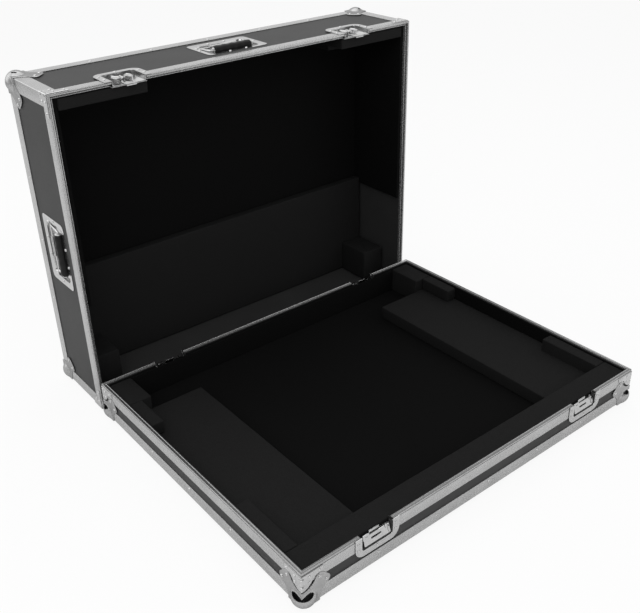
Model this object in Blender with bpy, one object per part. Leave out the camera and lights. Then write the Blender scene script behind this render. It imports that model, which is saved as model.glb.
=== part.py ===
"""A flight case for a mixing desk: a shallow base tray and a deep lift-off lid, stood open for use.

Each half is modelled with the case closed: x runs along the front, y from front to back, and w is the
distance from the parting plane into the half.  The base is then turned so that w points down, and the lid
stands on its rear wall behind the base, with its open side facing forward.
"""

import math

import bmesh
import bpy
from mathutils import Matrix, Vector

# Driving dimensions, in metres
WIDTH = 1.000
DEPTH = 0.776
BASE_HEIGHT = 0.086
LID_HEIGHT = 0.214
STAND_GAP = 0.016
CLEARANCE = 0.0003
SHARP = 32
BEYOND = 0.010
GRIP_IN = 0.0002

# Boards and aluminium extrusions
METAL = 0.0015
BOARD_INSET = METAL + CLEARANCE
WALL_BOARD = 0.009
PANEL_BOARD = 0.007
ANGLE_LEG = 0.030
FLANGE = 0.030
INNER_FLANGE = 0.010
RIM_DEPTH = 0.0126
RIM_WEB = 0.002
TONGUE_INSET = 0.005
TONGUE_WIDTH = 0.003
TONGUE_HEIGHT = 0.009
GROOVE_PLAY = 0.0004
GROOVE_DEPTH = 0.010
GROOVE_BLOCK = 0.0115

# Steel plates that are riveted over the extrusions
PLATE = 0.0015
PLATE_OUT = PLATE + CLEARANCE
DISH_WALL = 0.0012

# Ball corners
BALL_RADIUS = 0.025
BALL_INSET = 0.015
BALL_SHELL = 0.0015
BALL_PROUD = BALL_RADIUS - BALL_INSET
BALL_SEGMENTS = 16
BALL_RINGS = 12
EAR_RADIUS = 0.010
MIDDLE_EAR_RADIUS = 0.0095
LOBE_REACH = 0.080
STRAP_CUT = (-0.018, 0.030)

# Latches
LATCH_X = 0.318
LATCH_FLANGE = 0.111
LATCH_CORNER = 0.022
LATCH_MOUTH = 0.078
KEEPER_REACH = 0.050
KEEPER_MOUTH = 0.032
LATCH_REACH = 0.071
LATCH_MOUTH_REACH = 0.0565
RIM_CUT = 0.083
DISH_BACK = 0.0107
STRIKE = ((0.0100, 0.0030), (0.0100, 0.0052), (0.0018, 0.0326), (0.0002, 0.0326))
STRIKE_SLOT = (0.0115, 0.0155)
TAB = ((-0.020, 0.0078, -0.006), (0.012, 0.0092, 0.007))
SPINDLE_W = 0.032
SPINDLE_RADIUS = 0.0042
BOSS_RADIUS = 0.008
BOSS_BACK = 0.0069
WING_REACH = 0.0235
WING_WAIST = 0.0085
WING_SPREAD = 38
WAIST_SPREAD = 15
WING_FRONT = 0.0008
WING_BACK = 0.0026
HOOK_WIDTH = 0.024
HOOK_FRONT = 0.0074
HOOK_BACK = 0.0090
HOOK_LIP = 0.0118
HOOK_TRAVEL = 0.008
HOOK_TIP = 0.0115
HOOK_END = 0.047

# Handles
HANDLE_LENGTH = 0.166
HANDLE_WIDTH = 0.112
HANDLE_CORNER = 0.012
HANDLE_MOUTH_LENGTH = 0.138
HANDLE_MOUTH_WIDTH = 0.084
HANDLE_BACK = 0.0127
HANDLE_W = 0.107
BAIL_ROD = 0.003
BAIL_DROP = 0.052
BAIL_PIVOT = 0.030
BAIL_LEVEL = 0.006
BAIL_LEG = 0.058
BAIL_BEND = 0.006
BAIL_PIN = 0.0672
LUG_NEAR = 0.0645
LUG_HALF = 0.006
GRIP_RADIUS = 0.009
GRIP_LENGTH = 0.104
GRIP_LEVEL = -0.0006

# Foam in the base: heights are w, depths are measured from the front face
FOAM_INSET = 0.013
FELT = 0.002
SLAB_TOP = 0.040
SLAB_X = 0.297
SLAB_END = 0.670
BAR_TOP = 0.006
BAR_BACK = 0.067
SIDE_BLOCK_X = 0.455
FRONT_BLOCK_END = 0.230
SIDE_BLOCK = (0.560, 0.668)
REAR_BLOCK_X = 0.430
REAR_BLOCK = 0.662

# Foam in the lid: heights are measured from the wall it stands on, or from its top wall
LINING = 0.008
LINING_START = 0.010
LINING_END = 0.280
LID_SLAB_HEIGHT = 0.297
LID_SLAB_THICK = 0.024
LID_BLOCK_X = 0.407
LID_BLOCK_HEIGHT = 0.103
LID_BLOCK_W = 0.068
PAD_X = 0.273
PAD_DROP = 0.039
PAD_W = (0.006, 0.090)
PAD_STEP_X = 0.298
PAD_STEP_DROP = 0.060
PAD_STEP_W = 0.080
JOIN = 0.010

PARTS = bpy.data.collections.new("mixer_flight_case")
CUTTERS = bpy.data.collections.new("cutters")
CORNERS = {"front_left": (-1, -1), "front_right": (1, -1), "rear_left": (-1, 1), "rear_right": (1, 1)}

# A drawing's (x, y, z) stood up as (along, w, inset), or turned on to the next pair of axes
UPRIGHT = Matrix(((1, 0, 0, 0), (0, 0, 1, 0), (0, 1, 0, 0), (0, 0, 0, 1)))
ACROSS = Matrix(((0, 0, 1, 0), (1, 0, 0, 0), (0, 1, 0, 0), (0, 0, 0, 1)))


# Scene and materials

def clear_scene():
    for old in list(bpy.data.objects):
        bpy.data.objects.remove(old, do_unlink=True)
    bpy.context.scene.collection.children.link(PARTS)
    bpy.context.scene.collection.children.link(CUTTERS)


def material(name, colour, roughness, metallic):
    made = bpy.data.materials.new(name)
    made.use_nodes = True
    shader = made.node_tree.nodes["Principled BSDF"]
    shader.inputs["Base Color"].default_value = (*colour, 1.0)
    shader.inputs["Roughness"].default_value = roughness
    shader.inputs["Metallic"].default_value = metallic
    made.diffuse_color = (*colour, 1.0)
    return made


MATERIALS = {
    "aluminium": material("aluminium", (0.72, 0.73, 0.74), 0.35, 1.0),
    "laminate": material("laminate", (0.055, 0.056, 0.058), 0.45, 0.0),
    "plated_steel": material("plated_steel", (0.66, 0.66, 0.66), 0.25, 1.0),
    "foam": material("foam", (0.018, 0.018, 0.018), 0.95, 0.0),
    "felt": material("felt", (0.012, 0.012, 0.012), 0.95, 0.0),
    "rubber": material("rubber", (0.025, 0.025, 0.025), 0.6, 0.0),
}


# Shapes

def mesh_object(name, bm):
    mesh = bpy.data.meshes.new(name)
    bm.normal_update()
    bmesh.ops.recalc_face_normals(bm, faces=bm.faces)
    bm.to_mesh(mesh)
    bm.free()
    made = bpy.data.objects.new(name, mesh)
    CUTTERS.objects.link(made)
    made.display_type = "WIRE"
    made.hide_render = True
    return made


def block(low, high):
    """A box between two opposite corners."""
    size = Vector(high) - Vector(low)
    middle = (Vector(high) + Vector(low)) / 2
    bm = bmesh.new()
    bmesh.ops.create_cube(bm, size=1.0)
    bm.transform(Matrix.Translation(middle) @ Matrix.Diagonal((*size, 1.0)))
    return mesh_object("block", bm)


def drum(radius, start, end, segments=24):
    """A round bar between two points."""
    start, end = Vector(start), Vector(end)
    along = end - start
    turn = along.to_track_quat("Z", "Y").to_matrix().to_4x4()
    bm = bmesh.new()
    bmesh.ops.create_cone(bm, cap_ends=True, segments=segments, radius1=radius, radius2=radius,
                          depth=along.length)
    bm.transform(Matrix.Translation((start + end) / 2) @ turn)
    return mesh_object("drum", bm)


def ball(radius, centre):
    bm = bmesh.new()
    bmesh.ops.create_uvsphere(bm, u_segments=BALL_SEGMENTS, v_segments=BALL_RINGS, radius=radius)
    bm.transform(Matrix.Translation(centre))
    return mesh_object("ball", bm)


def merge_flat_faces(bm):
    """Join neighbouring faces that lie in one plane, which keeps the Booleans clean."""
    bmesh.ops.remove_doubles(bm, verts=bm.verts, dist=0.000005)
    bmesh.ops.dissolve_degenerate(bm, dist=0.000005, edges=bm.edges)
    bmesh.ops.dissolve_limit(bm, angle_limit=0.0005, verts=bm.verts, edges=bm.edges)


def mesh_from_curve(curve, name):
    """Turn a curve into a welded mesh object and drop the curve."""
    holder = bpy.data.objects.new(name, curve)
    CUTTERS.objects.link(holder)
    graph = bpy.context.evaluated_depsgraph_get()
    mesh = bpy.data.meshes.new_from_object(holder.evaluated_get(graph))
    bm = bmesh.new()
    bm.from_mesh(mesh)
    bmesh.ops.remove_doubles(bm, verts=bm.verts, dist=0.00001)
    merge_flat_faces(bm)
    bpy.data.objects.remove(holder, do_unlink=True)
    return mesh_object(name, bm)


def plate(outline, low, high):
    """A flat outline in (x, y), extruded from z = low to z = high."""
    curve = bpy.data.curves.new("outline", "CURVE")
    curve.dimensions = "2D"
    curve.fill_mode = "BOTH"
    curve.extrude = (high - low) / 2
    spline = curve.splines.new("POLY")
    spline.points.add(len(outline) - 1)
    for point, (x, y) in zip(spline.points, outline):
        point.co = (x, y, 0.0, 1.0)
    spline.use_cyclic_u = True
    made = mesh_from_curve(curve, "plate")
    made.data.transform(Matrix.Translation((0, 0, (low + high) / 2)))
    return made


def rod(path, radius):
    """A round wire along a list of points, with filled ends."""
    curve = bpy.data.curves.new("rod", "CURVE")
    curve.dimensions = "3D"
    curve.bevel_depth = radius
    curve.bevel_resolution = 2
    curve.use_fill_caps = True
    spline = curve.splines.new("POLY")
    spline.points.add(len(path) - 1)
    for point, place in zip(spline.points, path):
        point.co = (*place, 1.0)
    return mesh_from_curve(curve, "rod")


def mitred_ring(profile):
    """Carry a profile of (inset, w) points round the case, mitred at the four corners."""
    bm = bmesh.new()
    loops = []
    for side_x, side_y in ((-1, -1), (1, -1), (1, 1), (-1, 1)):
        loops.append([bm.verts.new((side_x * (WIDTH / 2 - inset), side_y * (DEPTH / 2 - inset), w))
                      for inset, w in profile])
    for here, there in zip(loops, loops[1:] + loops[:1]):
        for i in range(len(profile)):
            bm.faces.new((here[i - 1], here[i], there[i], there[i - 1]))
    return mesh_object("ring", bm)


def combine(target, tool, operation):
    """Join or cut two meshes with an exact Boolean, and drop the tool."""
    step = target.modifiers.new(operation.lower(), "BOOLEAN")
    step.operation = operation
    step.solver = "EXACT"
    step.object = tool
    graph = bpy.context.evaluated_depsgraph_get()
    result = bpy.data.meshes.new_from_object(target.evaluated_get(graph))
    bm = bmesh.new()
    bm.from_mesh(result)
    merge_flat_faces(bm)
    bm.to_mesh(result)
    bm.free()
    target.modifiers.clear()
    target.data = result
    bpy.data.objects.remove(tool, do_unlink=True)
    return target


def cut(target, tool):
    return combine(target, tool, "DIFFERENCE")


def fuse(target, tool):
    return combine(target, tool, "UNION")


def reshape(made, matrix):
    """Move a mesh, and turn its faces out again when the move mirrors it."""
    made.data.transform(matrix)
    if matrix.determinant() < 0:
        made.data.flip_normals()
    return made


def copy_of(made):
    twin = bpy.data.objects.new(made.name, made.data.copy())
    CUTTERS.objects.link(twin)
    return twin


def arc(centre, radius, start, end, steps):
    """Points on a circle, angles in degrees."""
    turns = [math.radians(start + (end - start) * i / steps) for i in range(steps + 1)]
    return [(centre[0] + radius * math.cos(t), centre[1] + radius * math.sin(t)) for t in turns]


def mirrored(points):
    """The same points across the diagonal, in reverse order."""
    return [(b, a) for a, b in reversed(points)]


def rounded_box(half_x, half_y, radius, steps=5):
    outline = []
    for side_x, side_y, start in ((1, 1, 0), (-1, 1, 90), (-1, -1, 180), (1, -1, 270)):
        middle = (side_x * (half_x - radius), side_y * (half_y - radius))
        outline += arc(middle, radius, start, start + 90, steps)
    return outline


# The two halves

class Half:
    """One half of the case: its name, its height and the empty that stands it in the world."""

    def __init__(self, name, height, place, side):
        self.name = name
        self.height = height
        self.side = side
        self.stand = bpy.data.objects.new(name + "_stand", None)
        self.stand.matrix_world = place
        PARTS.objects.link(self.stand)

    def seat(self, made, name, slot, pivot=(0, 0, 0)):
        """Name a piece, give it its material and hang it on this half, with its origin at the pivot."""
        flip = Matrix.Diagonal((1, 1, self.side, 1))
        reshape(made, flip)
        origin = flip @ Vector(pivot)
        made.data.transform(Matrix.Translation(-origin))
        made.name = self.name + "_" + name
        made.data.name = made.name
        made.parent = self.stand
        made.location = origin
        made.display_type = "TEXTURED"
        made.hide_render = False
        made.data.materials.clear()
        made.data.materials.append(MATERIALS[slot])
        made.data.shade_smooth()
        made.data.set_sharp_from_angle(angle=math.radians(SHARP))
        CUTTERS.objects.unlink(made)
        PARTS.objects.link(made)
        return made


def front_face():
    """World y of the base's front face, with the whole stood case centred on the origin."""
    length = BALL_PROUD + DEPTH + STAND_GAP + LID_HEIGHT + BALL_PROUD
    return BALL_PROUD - length / 2


def make_halves():
    base_place = Matrix.Translation((0, front_face() + DEPTH / 2, BALL_PROUD + BASE_HEIGHT))
    lid_place = Matrix.Translation((0, front_face() + DEPTH + STAND_GAP, BALL_PROUD + DEPTH / 2))
    lid_place = lid_place @ Matrix.Rotation(-math.pi / 2, 4, "X")
    return Half("base", BASE_HEIGHT, base_place, -1), Half("lid", LID_HEIGHT, lid_place, 1)


# Frames of the pieces that repeat round a half

def corner_frame(side_x, side_y, w, inward):
    """Corner coordinates measured inward along x, y and w, from a corner of the case."""
    return Matrix.Translation((side_x * WIDTH / 2, side_y * DEPTH / 2, w)) @ Matrix.Diagonal(
        (-side_x, -side_y, inward, 1))


def wall_frame(side_y, along):
    """Coordinates (along x, inset, w) on the front or rear wall."""
    return Matrix.Translation((along, side_y * DEPTH / 2, 0)) @ Matrix.Diagonal((1, -side_y, 1, 1))


def side_frame(side_x):
    """Coordinates (along y, inset, w) on a side wall."""
    turn = Matrix(((0, -side_x, 0, 0), (1, 0, 0, 0), (0, 0, 1, 0), (0, 0, 0, 1)))
    return Matrix.Translation((side_x * WIDTH / 2, 0, 0)) @ turn


# Boards

def latch_opening(half):
    """Half width and reach of the hole that a latch dish needs in its board."""
    reach = KEEPER_MOUTH if half.name == "base" else LATCH_MOUTH_REACH
    return LATCH_MOUTH / 2 + DISH_WALL + 2 * CLEARANCE, reach + DISH_WALL + 2 * CLEARANCE


def handle_opening(frame):
    half_length = HANDLE_MOUTH_LENGTH / 2 + DISH_WALL + CLEARANCE
    half_width = HANDLE_MOUTH_WIDTH / 2 + DISH_WALL + CLEARANCE
    hole = block((-half_length, -METAL, HANDLE_W - half_width),
                 (half_length, 2 * WALL_BOARD, HANDLE_W + half_width))
    return reshape(hole, frame)


def boards(half):
    is_lid = half.name == "lid"
    floor_name = "top_panel" if is_lid else "bottom_panel"
    outer_x = WIDTH / 2 - BOARD_INSET
    outer_y = DEPTH / 2 - BOARD_INSET
    floor_inner = half.height - BOARD_INSET - PANEL_BOARD
    top = (GROOVE_BLOCK if is_lid else RIM_WEB) + CLEARANCE
    half.seat(block((-outer_x, -outer_y, floor_inner), (outer_x, outer_y, half.height - BOARD_INSET)),
              floor_name, "laminate")
    for name, side in (("front_panel", -1), ("rear_panel", 1)):
        near, far = sorted((side * outer_y, side * (outer_y - WALL_BOARD)))
        wall = block((-outer_x, near, top), (outer_x, far, floor_inner - CLEARANCE))
        half_width, reach = latch_opening(half)
        for along in (-LATCH_X, LATCH_X):
            hole = block((-half_width, -METAL, -METAL), (half_width, 2 * WALL_BOARD, reach))
            cut(wall, reshape(hole, wall_frame(side, along)))
        if is_lid and side == -1:
            cut(wall, handle_opening(wall_frame(side, 0)))
        half.seat(wall, name, "laminate")
    reach_y = outer_y - WALL_BOARD - CLEARANCE
    for name, side in (("left_panel", -1), ("right_panel", 1)):
        near, far = sorted((side * outer_x, side * (outer_x - WALL_BOARD)))
        wall = block((near, -reach_y, top), (far, reach_y, floor_inner - CLEARANCE))
        if is_lid:
            cut(wall, handle_opening(side_frame(side)))
        half.seat(wall, name, "laminate")


# Extrusions

def corner_trim(side_x, side_y, half):
    """What the ball corner leaves no room for: the case's corner outside the ball."""
    middle = Vector((BALL_INSET,) * 3)
    trim = block((-PLATE_OUT,) * 3, (BALL_INSET,) * 3)
    cut(trim, ball(BALL_RADIUS - BALL_SHELL - 2 * CLEARANCE, middle))
    return reshape(trim, corner_frame(side_x, side_y, half.height, -1))


def edge_frame(half):
    """Angles along the floor's edges and up the corners: a thin shell with a window in each face."""
    top = FLANGE + CLEARANCE
    x, y = WIDTH / 2, DEPTH / 2
    bottom = half.height - ANGLE_LEG
    frame = block((-x, -y, top), (x, y, half.height))
    cut(frame, block((-x + METAL, -y + METAL, 0), (x - METAL, y - METAL, half.height - METAL)))
    cut(frame, block((-x + ANGLE_LEG, -y - BEYOND, 0), (x - ANGLE_LEG, y + BEYOND, bottom)))
    cut(frame, block((-x - BEYOND, -y + ANGLE_LEG, 0), (x + BEYOND, y - ANGLE_LEG, bottom)))
    cut(frame, block((-x + ANGLE_LEG, -y + ANGLE_LEG, bottom), (x - ANGLE_LEG, y - ANGLE_LEG, 1)))
    for side_x, side_y in CORNERS.values():
        cut(frame, corner_trim(side_x, side_y, half))
    half.seat(frame, "edge_frame", "aluminium")


def cut_for_latches(rim):
    for side in (-1, 1):
        for along in (-LATCH_X, LATCH_X):
            gap = block((-RIM_CUT / 2, -METAL, -2 * BEYOND),
                        (RIM_CUT / 2, DISH_BACK + CLEARANCE, FLANGE + BEYOND))
            cut(rim, reshape(gap, wall_frame(side, along)))
    return rim


def base_rim(half):
    """Channel over the board's edge with a tongue standing on it."""
    tongue_end = TONGUE_INSET + TONGUE_WIDTH
    inner = RIM_DEPTH - METAL
    tip = RIM_WEB + INNER_FLANGE
    profile = ((0, FLANGE), (METAL, FLANGE), (METAL, RIM_WEB), (inner, RIM_WEB), (inner, tip),
               (RIM_DEPTH, tip), (RIM_DEPTH, 0), (tongue_end, 0), (tongue_end, -TONGUE_HEIGHT),
               (TONGUE_INSET, -TONGUE_HEIGHT), (TONGUE_INSET, 0), (0, 0))
    half.seat(cut_for_latches(mitred_ring(profile)), "rim", "aluminium")


def lid_rim(half):
    """Channel over the board's edge with a groove that takes the base's tongue."""
    groove_start = TONGUE_INSET - GROOVE_PLAY
    groove_end = TONGUE_INSET + TONGUE_WIDTH + GROOVE_PLAY
    inner = RIM_DEPTH - METAL
    tip = GROOVE_BLOCK + INNER_FLANGE
    profile = ((0, 0), (groove_start, 0), (groove_start, GROOVE_DEPTH), (groove_end, GROOVE_DEPTH),
               (groove_end, 0), (RIM_DEPTH, 0), (RIM_DEPTH, tip), (inner, tip), (inner, GROOVE_BLOCK),
               (METAL, GROOVE_BLOCK), (METAL, FLANGE), (0, FLANGE))
    half.seat(cut_for_latches(mitred_ring(profile)), "rim", "aluminium")


# Ball corners

def lobe_outline():
    """One face of a ball corner: a three-eared lobe along the diagonal, notched at both edges."""
    ear = (0.042, 0.056)
    middle_ear = (0.051, 0.051)
    notch = [(-PLATE_OUT, 0.0405), (0.008, 0.0410), (0.016, 0.0435), (0.024, 0.0490), (0.0295, 0.0530)]
    flank = notch + arc(ear, EAR_RADIUS, 172, 30, 7) + arc(middle_ear, MIDDLE_EAR_RADIUS, 80, 48, 2)
    return [(-PLATE_OUT, -PLATE_OUT)] + flank + mirrored(flank)


def ball_opening():
    """The slot round an edge, seen along the edge's diagonal: a pointed strap above, the ball below."""
    top = [(0, 0.0270), (0.006, 0.0313), (0.012, 0.0328), (0.018, 0.0312), (0.0208, 0.0283)]
    under = [(0.0208, 0.0256), (0.018, 0.0232), (0.0125, 0.0213), (0.0065, 0.0207), (0, 0.0209)]
    right = top + under
    left = [(-t, w) for t, w in reversed(right[1:-1])]
    tool = plate(right + left, *STRAP_CUT)
    half_root = math.sqrt(0.5)
    facing = Matrix(((half_root, 0, -half_root, 0), (-half_root, 0, -half_root, 0), (0, 1, 0, 0),
                     (0, 0, 0, 1)))
    return reshape(tool, facing)


def ball_corner():
    """Three lobes folded over a corner, with a hollow ball between them, in corner coordinates."""
    turns = (Matrix.Identity(4), ACROSS, ACROSS @ ACROSS)
    middle = Vector((BALL_INSET,) * 3)
    corner = None
    for turn in turns:
        lobe = reshape(plate(lobe_outline(), -PLATE_OUT, -CLEARANCE), turn)
        corner = lobe if corner is None else fuse(corner, lobe)
    cut(corner, block((-BEYOND,) * 3, (BALL_INSET - GRIP_IN,) * 3))
    fuse(corner, ball(BALL_RADIUS, middle))
    cut(corner, ball(BALL_RADIUS - BALL_SHELL, middle))
    inside = block((-CLEARANCE,) * 3, (LOBE_REACH,) * 3)
    cut(inside, block((-BEYOND,) * 3, (BALL_INSET,) * 3))
    cut(corner, inside)
    for turn in turns:
        cut(corner, reshape(ball_opening(), turn))
    return corner


def brace():
    """A plate folded round the upright corner below the rim, drawn down to a point."""
    outline = [(-PLATE_OUT, CLEARANCE), (0.0505, CLEARANCE), (0.0505, 0.0165), (0.049, 0.0180),
               (0.038, 0.0180), (0.033, 0.0205), (0.0305, 0.0250), (0.0285, 0.0295), (0.0225, 0.0365),
               (0.0155, 0.0413), (0.008, 0.0438), (-PLATE_OUT, 0.0442)]
    wing = reshape(plate(outline, -PLATE_OUT, -CLEARANCE), UPRIGHT)
    return fuse(wing, reshape(plate(outline, -PLATE_OUT, -CLEARANCE), ACROSS))


def corner_hardware(half):
    corner = ball_corner()
    bracket = brace()
    for name, (side_x, side_y) in CORNERS.items():
        piece = reshape(copy_of(corner), corner_frame(side_x, side_y, half.height, -1))
        half.seat(piece, "ball_corner_" + name, "plated_steel")
        piece = reshape(copy_of(bracket), corner_frame(side_x, side_y, 0, 1))
        half.seat(piece, "brace_" + name, "plated_steel")
    bpy.data.objects.remove(corner, do_unlink=True)
    bpy.data.objects.remove(bracket, do_unlink=True)


# Latches, in wall coordinates (along, inset, w)

def wall_plate(outline, near, far):
    """An outline in (along, w), extruded through the wall from one inset to another."""
    return reshape(plate(outline, near, far), UPRIGHT)


def latch_dish(reach, mouth_reach):
    """Flange with two round corners and a recess that is open at the parting plane."""
    half = LATCH_FLANGE / 2
    round_end = reach - LATCH_CORNER
    outline = [(half, CLEARANCE)]
    outline += arc((half - LATCH_CORNER, round_end), LATCH_CORNER, 0, 90, 6)
    outline += arc((LATCH_CORNER - half, round_end), LATCH_CORNER, 90, 180, 6)
    outline += [(-half, CLEARANCE)]
    dish = wall_plate(outline, -PLATE_OUT, -CLEARANCE)
    mouth = LATCH_MOUTH / 2
    side = mouth + DISH_WALL
    fuse(dish, block((-side, -PLATE, CLEARANCE), (side, DISH_BACK, mouth_reach + DISH_WALL)))
    cut(dish, block((-mouth, -BEYOND, -BEYOND), (mouth, DISH_BACK - DISH_WALL, mouth_reach)))
    return dish


def keeper():
    """The base's dish, with a sloping strike plate, its slot and an upright tab behind it."""
    side = (LATCH_MOUTH + DISH_WALL) / 2
    sheet = reshape(plate(STRIKE, -side, side), ACROSS)
    half = HOOK_WIDTH / 2
    cut(sheet, block((-half, -BEYOND, STRIKE_SLOT[0]), (half, 2 * BEYOND, STRIKE_SLOT[1])))
    fuse(sheet, block(*TAB))
    return fuse(latch_dish(KEEPER_REACH, KEEPER_MOUTH), sheet)


def butterfly():
    """Spindle with two round wings, turned by hand about the wall's normal."""
    centre = (0, SPINDLE_W)
    spindle = drum(SPINDLE_RADIUS, (0, DISH_BACK - GRIP_IN, SPINDLE_W), (0, BOSS_BACK - METAL, SPINDLE_W))
    fuse(spindle, drum(BOSS_RADIUS, (0, BOSS_BACK, SPINDLE_W), (0, WING_BACK - GRIP_IN, SPINDLE_W)))
    outline = []
    for turn in (0, 180):
        outline += arc(centre, WING_REACH, turn - WING_SPREAD, turn + WING_SPREAD, 8)
        outline += arc(centre, WING_WAIST, turn + 90 - WAIST_SPREAD, turn + 90 + WAIST_SPREAD, 2)
    return fuse(spindle, wall_plate(outline, WING_FRONT, WING_BACK))


def hook():
    """Sliding plate with a bent tip and a slot for the spindle."""
    half = HOOK_WIDTH / 2
    bar = block((-half, HOOK_FRONT, -HOOK_TIP), (half, HOOK_BACK, HOOK_END))
    fuse(bar, block((-half, HOOK_FRONT + GRIP_IN, -HOOK_TIP), (half, HOOK_LIP, METAL - HOOK_TIP)))
    slot_half = SPINDLE_RADIUS + 2 * CLEARANCE
    slot = arc((0, SPINDLE_W), slot_half, 0, 180, 8)
    slot += arc((0, SPINDLE_W - HOOK_TRAVEL), slot_half, 180, 360, 8)
    return cut(bar, wall_plate(slot, HOOK_FRONT - METAL, HOOK_BACK + METAL))


def latches(base, lid):
    for place, side_y in (("front", -1), ("rear", 1)):
        for hand, along in (("left", -LATCH_X), ("right", LATCH_X)):
            frame = wall_frame(side_y, along)
            name = place + "_" + hand
            pivot = frame @ Vector((0, 0, SPINDLE_W))
            base.seat(reshape(keeper(), frame), "keeper_" + name, "plated_steel")
            dish = latch_dish(LATCH_REACH, LATCH_MOUTH_REACH)
            cut(dish, drum(SPINDLE_RADIUS + CLEARANCE, (0, HOOK_BACK, SPINDLE_W), (0, 2 * DISH_BACK, SPINDLE_W)))
            lid.seat(reshape(dish, frame), "latch_dish_" + name, "plated_steel")
            lid.seat(reshape(hook(), frame), "latch_hook_" + name, "plated_steel", pivot)
            lid.seat(reshape(butterfly(), frame), "latch_butterfly_" + name, "plated_steel", pivot)


# Handles, in wall coordinates (along, inset, w)

def handle_dish():
    """Pressed dish with a lug at each end for the bail's pins."""
    outline = [(x, y + HANDLE_W) for x, y in rounded_box(HANDLE_LENGTH / 2, HANDLE_WIDTH / 2, HANDLE_CORNER)]
    dish = wall_plate(outline, CLEARANCE, METAL)
    length, width = HANDLE_MOUTH_LENGTH / 2, HANDLE_MOUTH_WIDTH / 2
    fuse(dish, block((-length - DISH_WALL, 2 * CLEARANCE, HANDLE_W - width - DISH_WALL),
                     (length + DISH_WALL, HANDLE_BACK, HANDLE_W + width + DISH_WALL)))
    cut(dish, block((-length, -BEYOND, HANDLE_W - width),
                    (length, HANDLE_BACK - DISH_WALL, HANDLE_W + width)))
    pivot_w = HANDLE_W + BAIL_PIVOT
    for side in (-1, 1):
        near, far = sorted((side * LUG_NEAR, side * (length + DISH_WALL / 2)))
        fuse(dish, block((near, BAIL_LEVEL - LUG_HALF, pivot_w - LUG_HALF),
                         (far, BAIL_LEVEL + LUG_HALF, pivot_w + LUG_HALF)))
        cut(dish, drum(BAIL_ROD + CLEARANCE, (side * (LUG_NEAR - METAL), BAIL_LEVEL, pivot_w),
                       (side * (BAIL_PIN + CLEARANCE), BAIL_LEVEL, pivot_w), 16))
    return dish


def handle_bail():
    """Wire bail from one lug to the other, rising to a round grip that stands proud of the dish."""
    pivot_w = HANDLE_W + BAIL_PIVOT
    grip_w = pivot_w - BAIL_DROP
    rise = (GRIP_LEVEL - BAIL_LEVEL) / BAIL_DROP
    side = [(BAIL_PIN, pivot_w)] + arc((BAIL_LEG + BAIL_BEND, pivot_w - BAIL_BEND), BAIL_BEND, 90, 180, 4)
    side += arc((BAIL_LEG - BAIL_BEND, grip_w + BAIL_BEND), BAIL_BEND, 0, -90, 4)
    path = side + [(-x, w) for x, w in reversed(side)]
    bail = rod([(x, BAIL_LEVEL + rise * (pivot_w - w), w) for x, w in path], BAIL_ROD)
    half = GRIP_LENGTH / 2
    return fuse(bail, drum(GRIP_RADIUS, (-half, GRIP_LEVEL, grip_w), (half, GRIP_LEVEL, grip_w), 16))


def handles(lid):
    frames = {"front": wall_frame(-1, 0), "left": side_frame(-1), "right": side_frame(1)}
    for name, frame in frames.items():
        pivot = frame @ Vector((0, BAIL_LEVEL, HANDLE_W + BAIL_PIVOT))
        lid.seat(reshape(handle_dish(), frame), "handle_dish_" + name, "plated_steel")
        lid.seat(reshape(handle_bail(), frame), "handle_bail_" + name, "rubber", pivot)


# Foam

def base_foam(half):
    """Felt on the floor, a bar along the front with a block at each end, and a low slab along each side."""
    x = WIDTH / 2 - FOAM_INSET
    front, rear = -DEPTH / 2 + FOAM_INSET, DEPTH / 2 - FOAM_INSET
    floor = half.height - BOARD_INSET - PANEL_BOARD - CLEARANCE
    foot = floor - FELT - CLEARANCE
    half.seat(block((-x, front, floor - FELT), (x, rear, floor)), "foam_floor", "felt")
    face = -DEPTH / 2
    bar_back = face + BAR_BACK
    bar = block((-x, front, BAR_TOP), (x, bar_back, foot))
    for side in (-1, 1):
        near, far = sorted((side * SIDE_BLOCK_X, side * x))
        fuse(bar, block((near, bar_back - JOIN, BAR_TOP), (far, face + FRONT_BLOCK_END, foot)))
    half.seat(bar, "foam_front", "foam")
    for name, side in (("foam_left", -1), ("foam_right", 1)):
        near, far = sorted((side * SLAB_X, side * x))
        slab = block((near, bar_back + CLEARANCE, SLAB_TOP), (far, face + SLAB_END, foot))
        near, far = sorted((side * (SIDE_BLOCK_X - CLEARANCE), side * (x + BEYOND)))
        cut(slab, block((near, face, BAR_TOP), (far, face + FRONT_BLOCK_END + CLEARANCE, half.height)))
        near, far = sorted((side * SIDE_BLOCK_X, side * x))
        fuse(slab, block((near, face + SIDE_BLOCK[0], BAR_TOP),
                         (far, face + SIDE_BLOCK[1], SLAB_TOP + JOIN)))
        near, far = sorted((side * REAR_BLOCK_X, side * x))
        fuse(slab, block((near, face + REAR_BLOCK, BAR_TOP), (far, rear, foot)))
        half.seat(slab, name, "foam")


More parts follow.
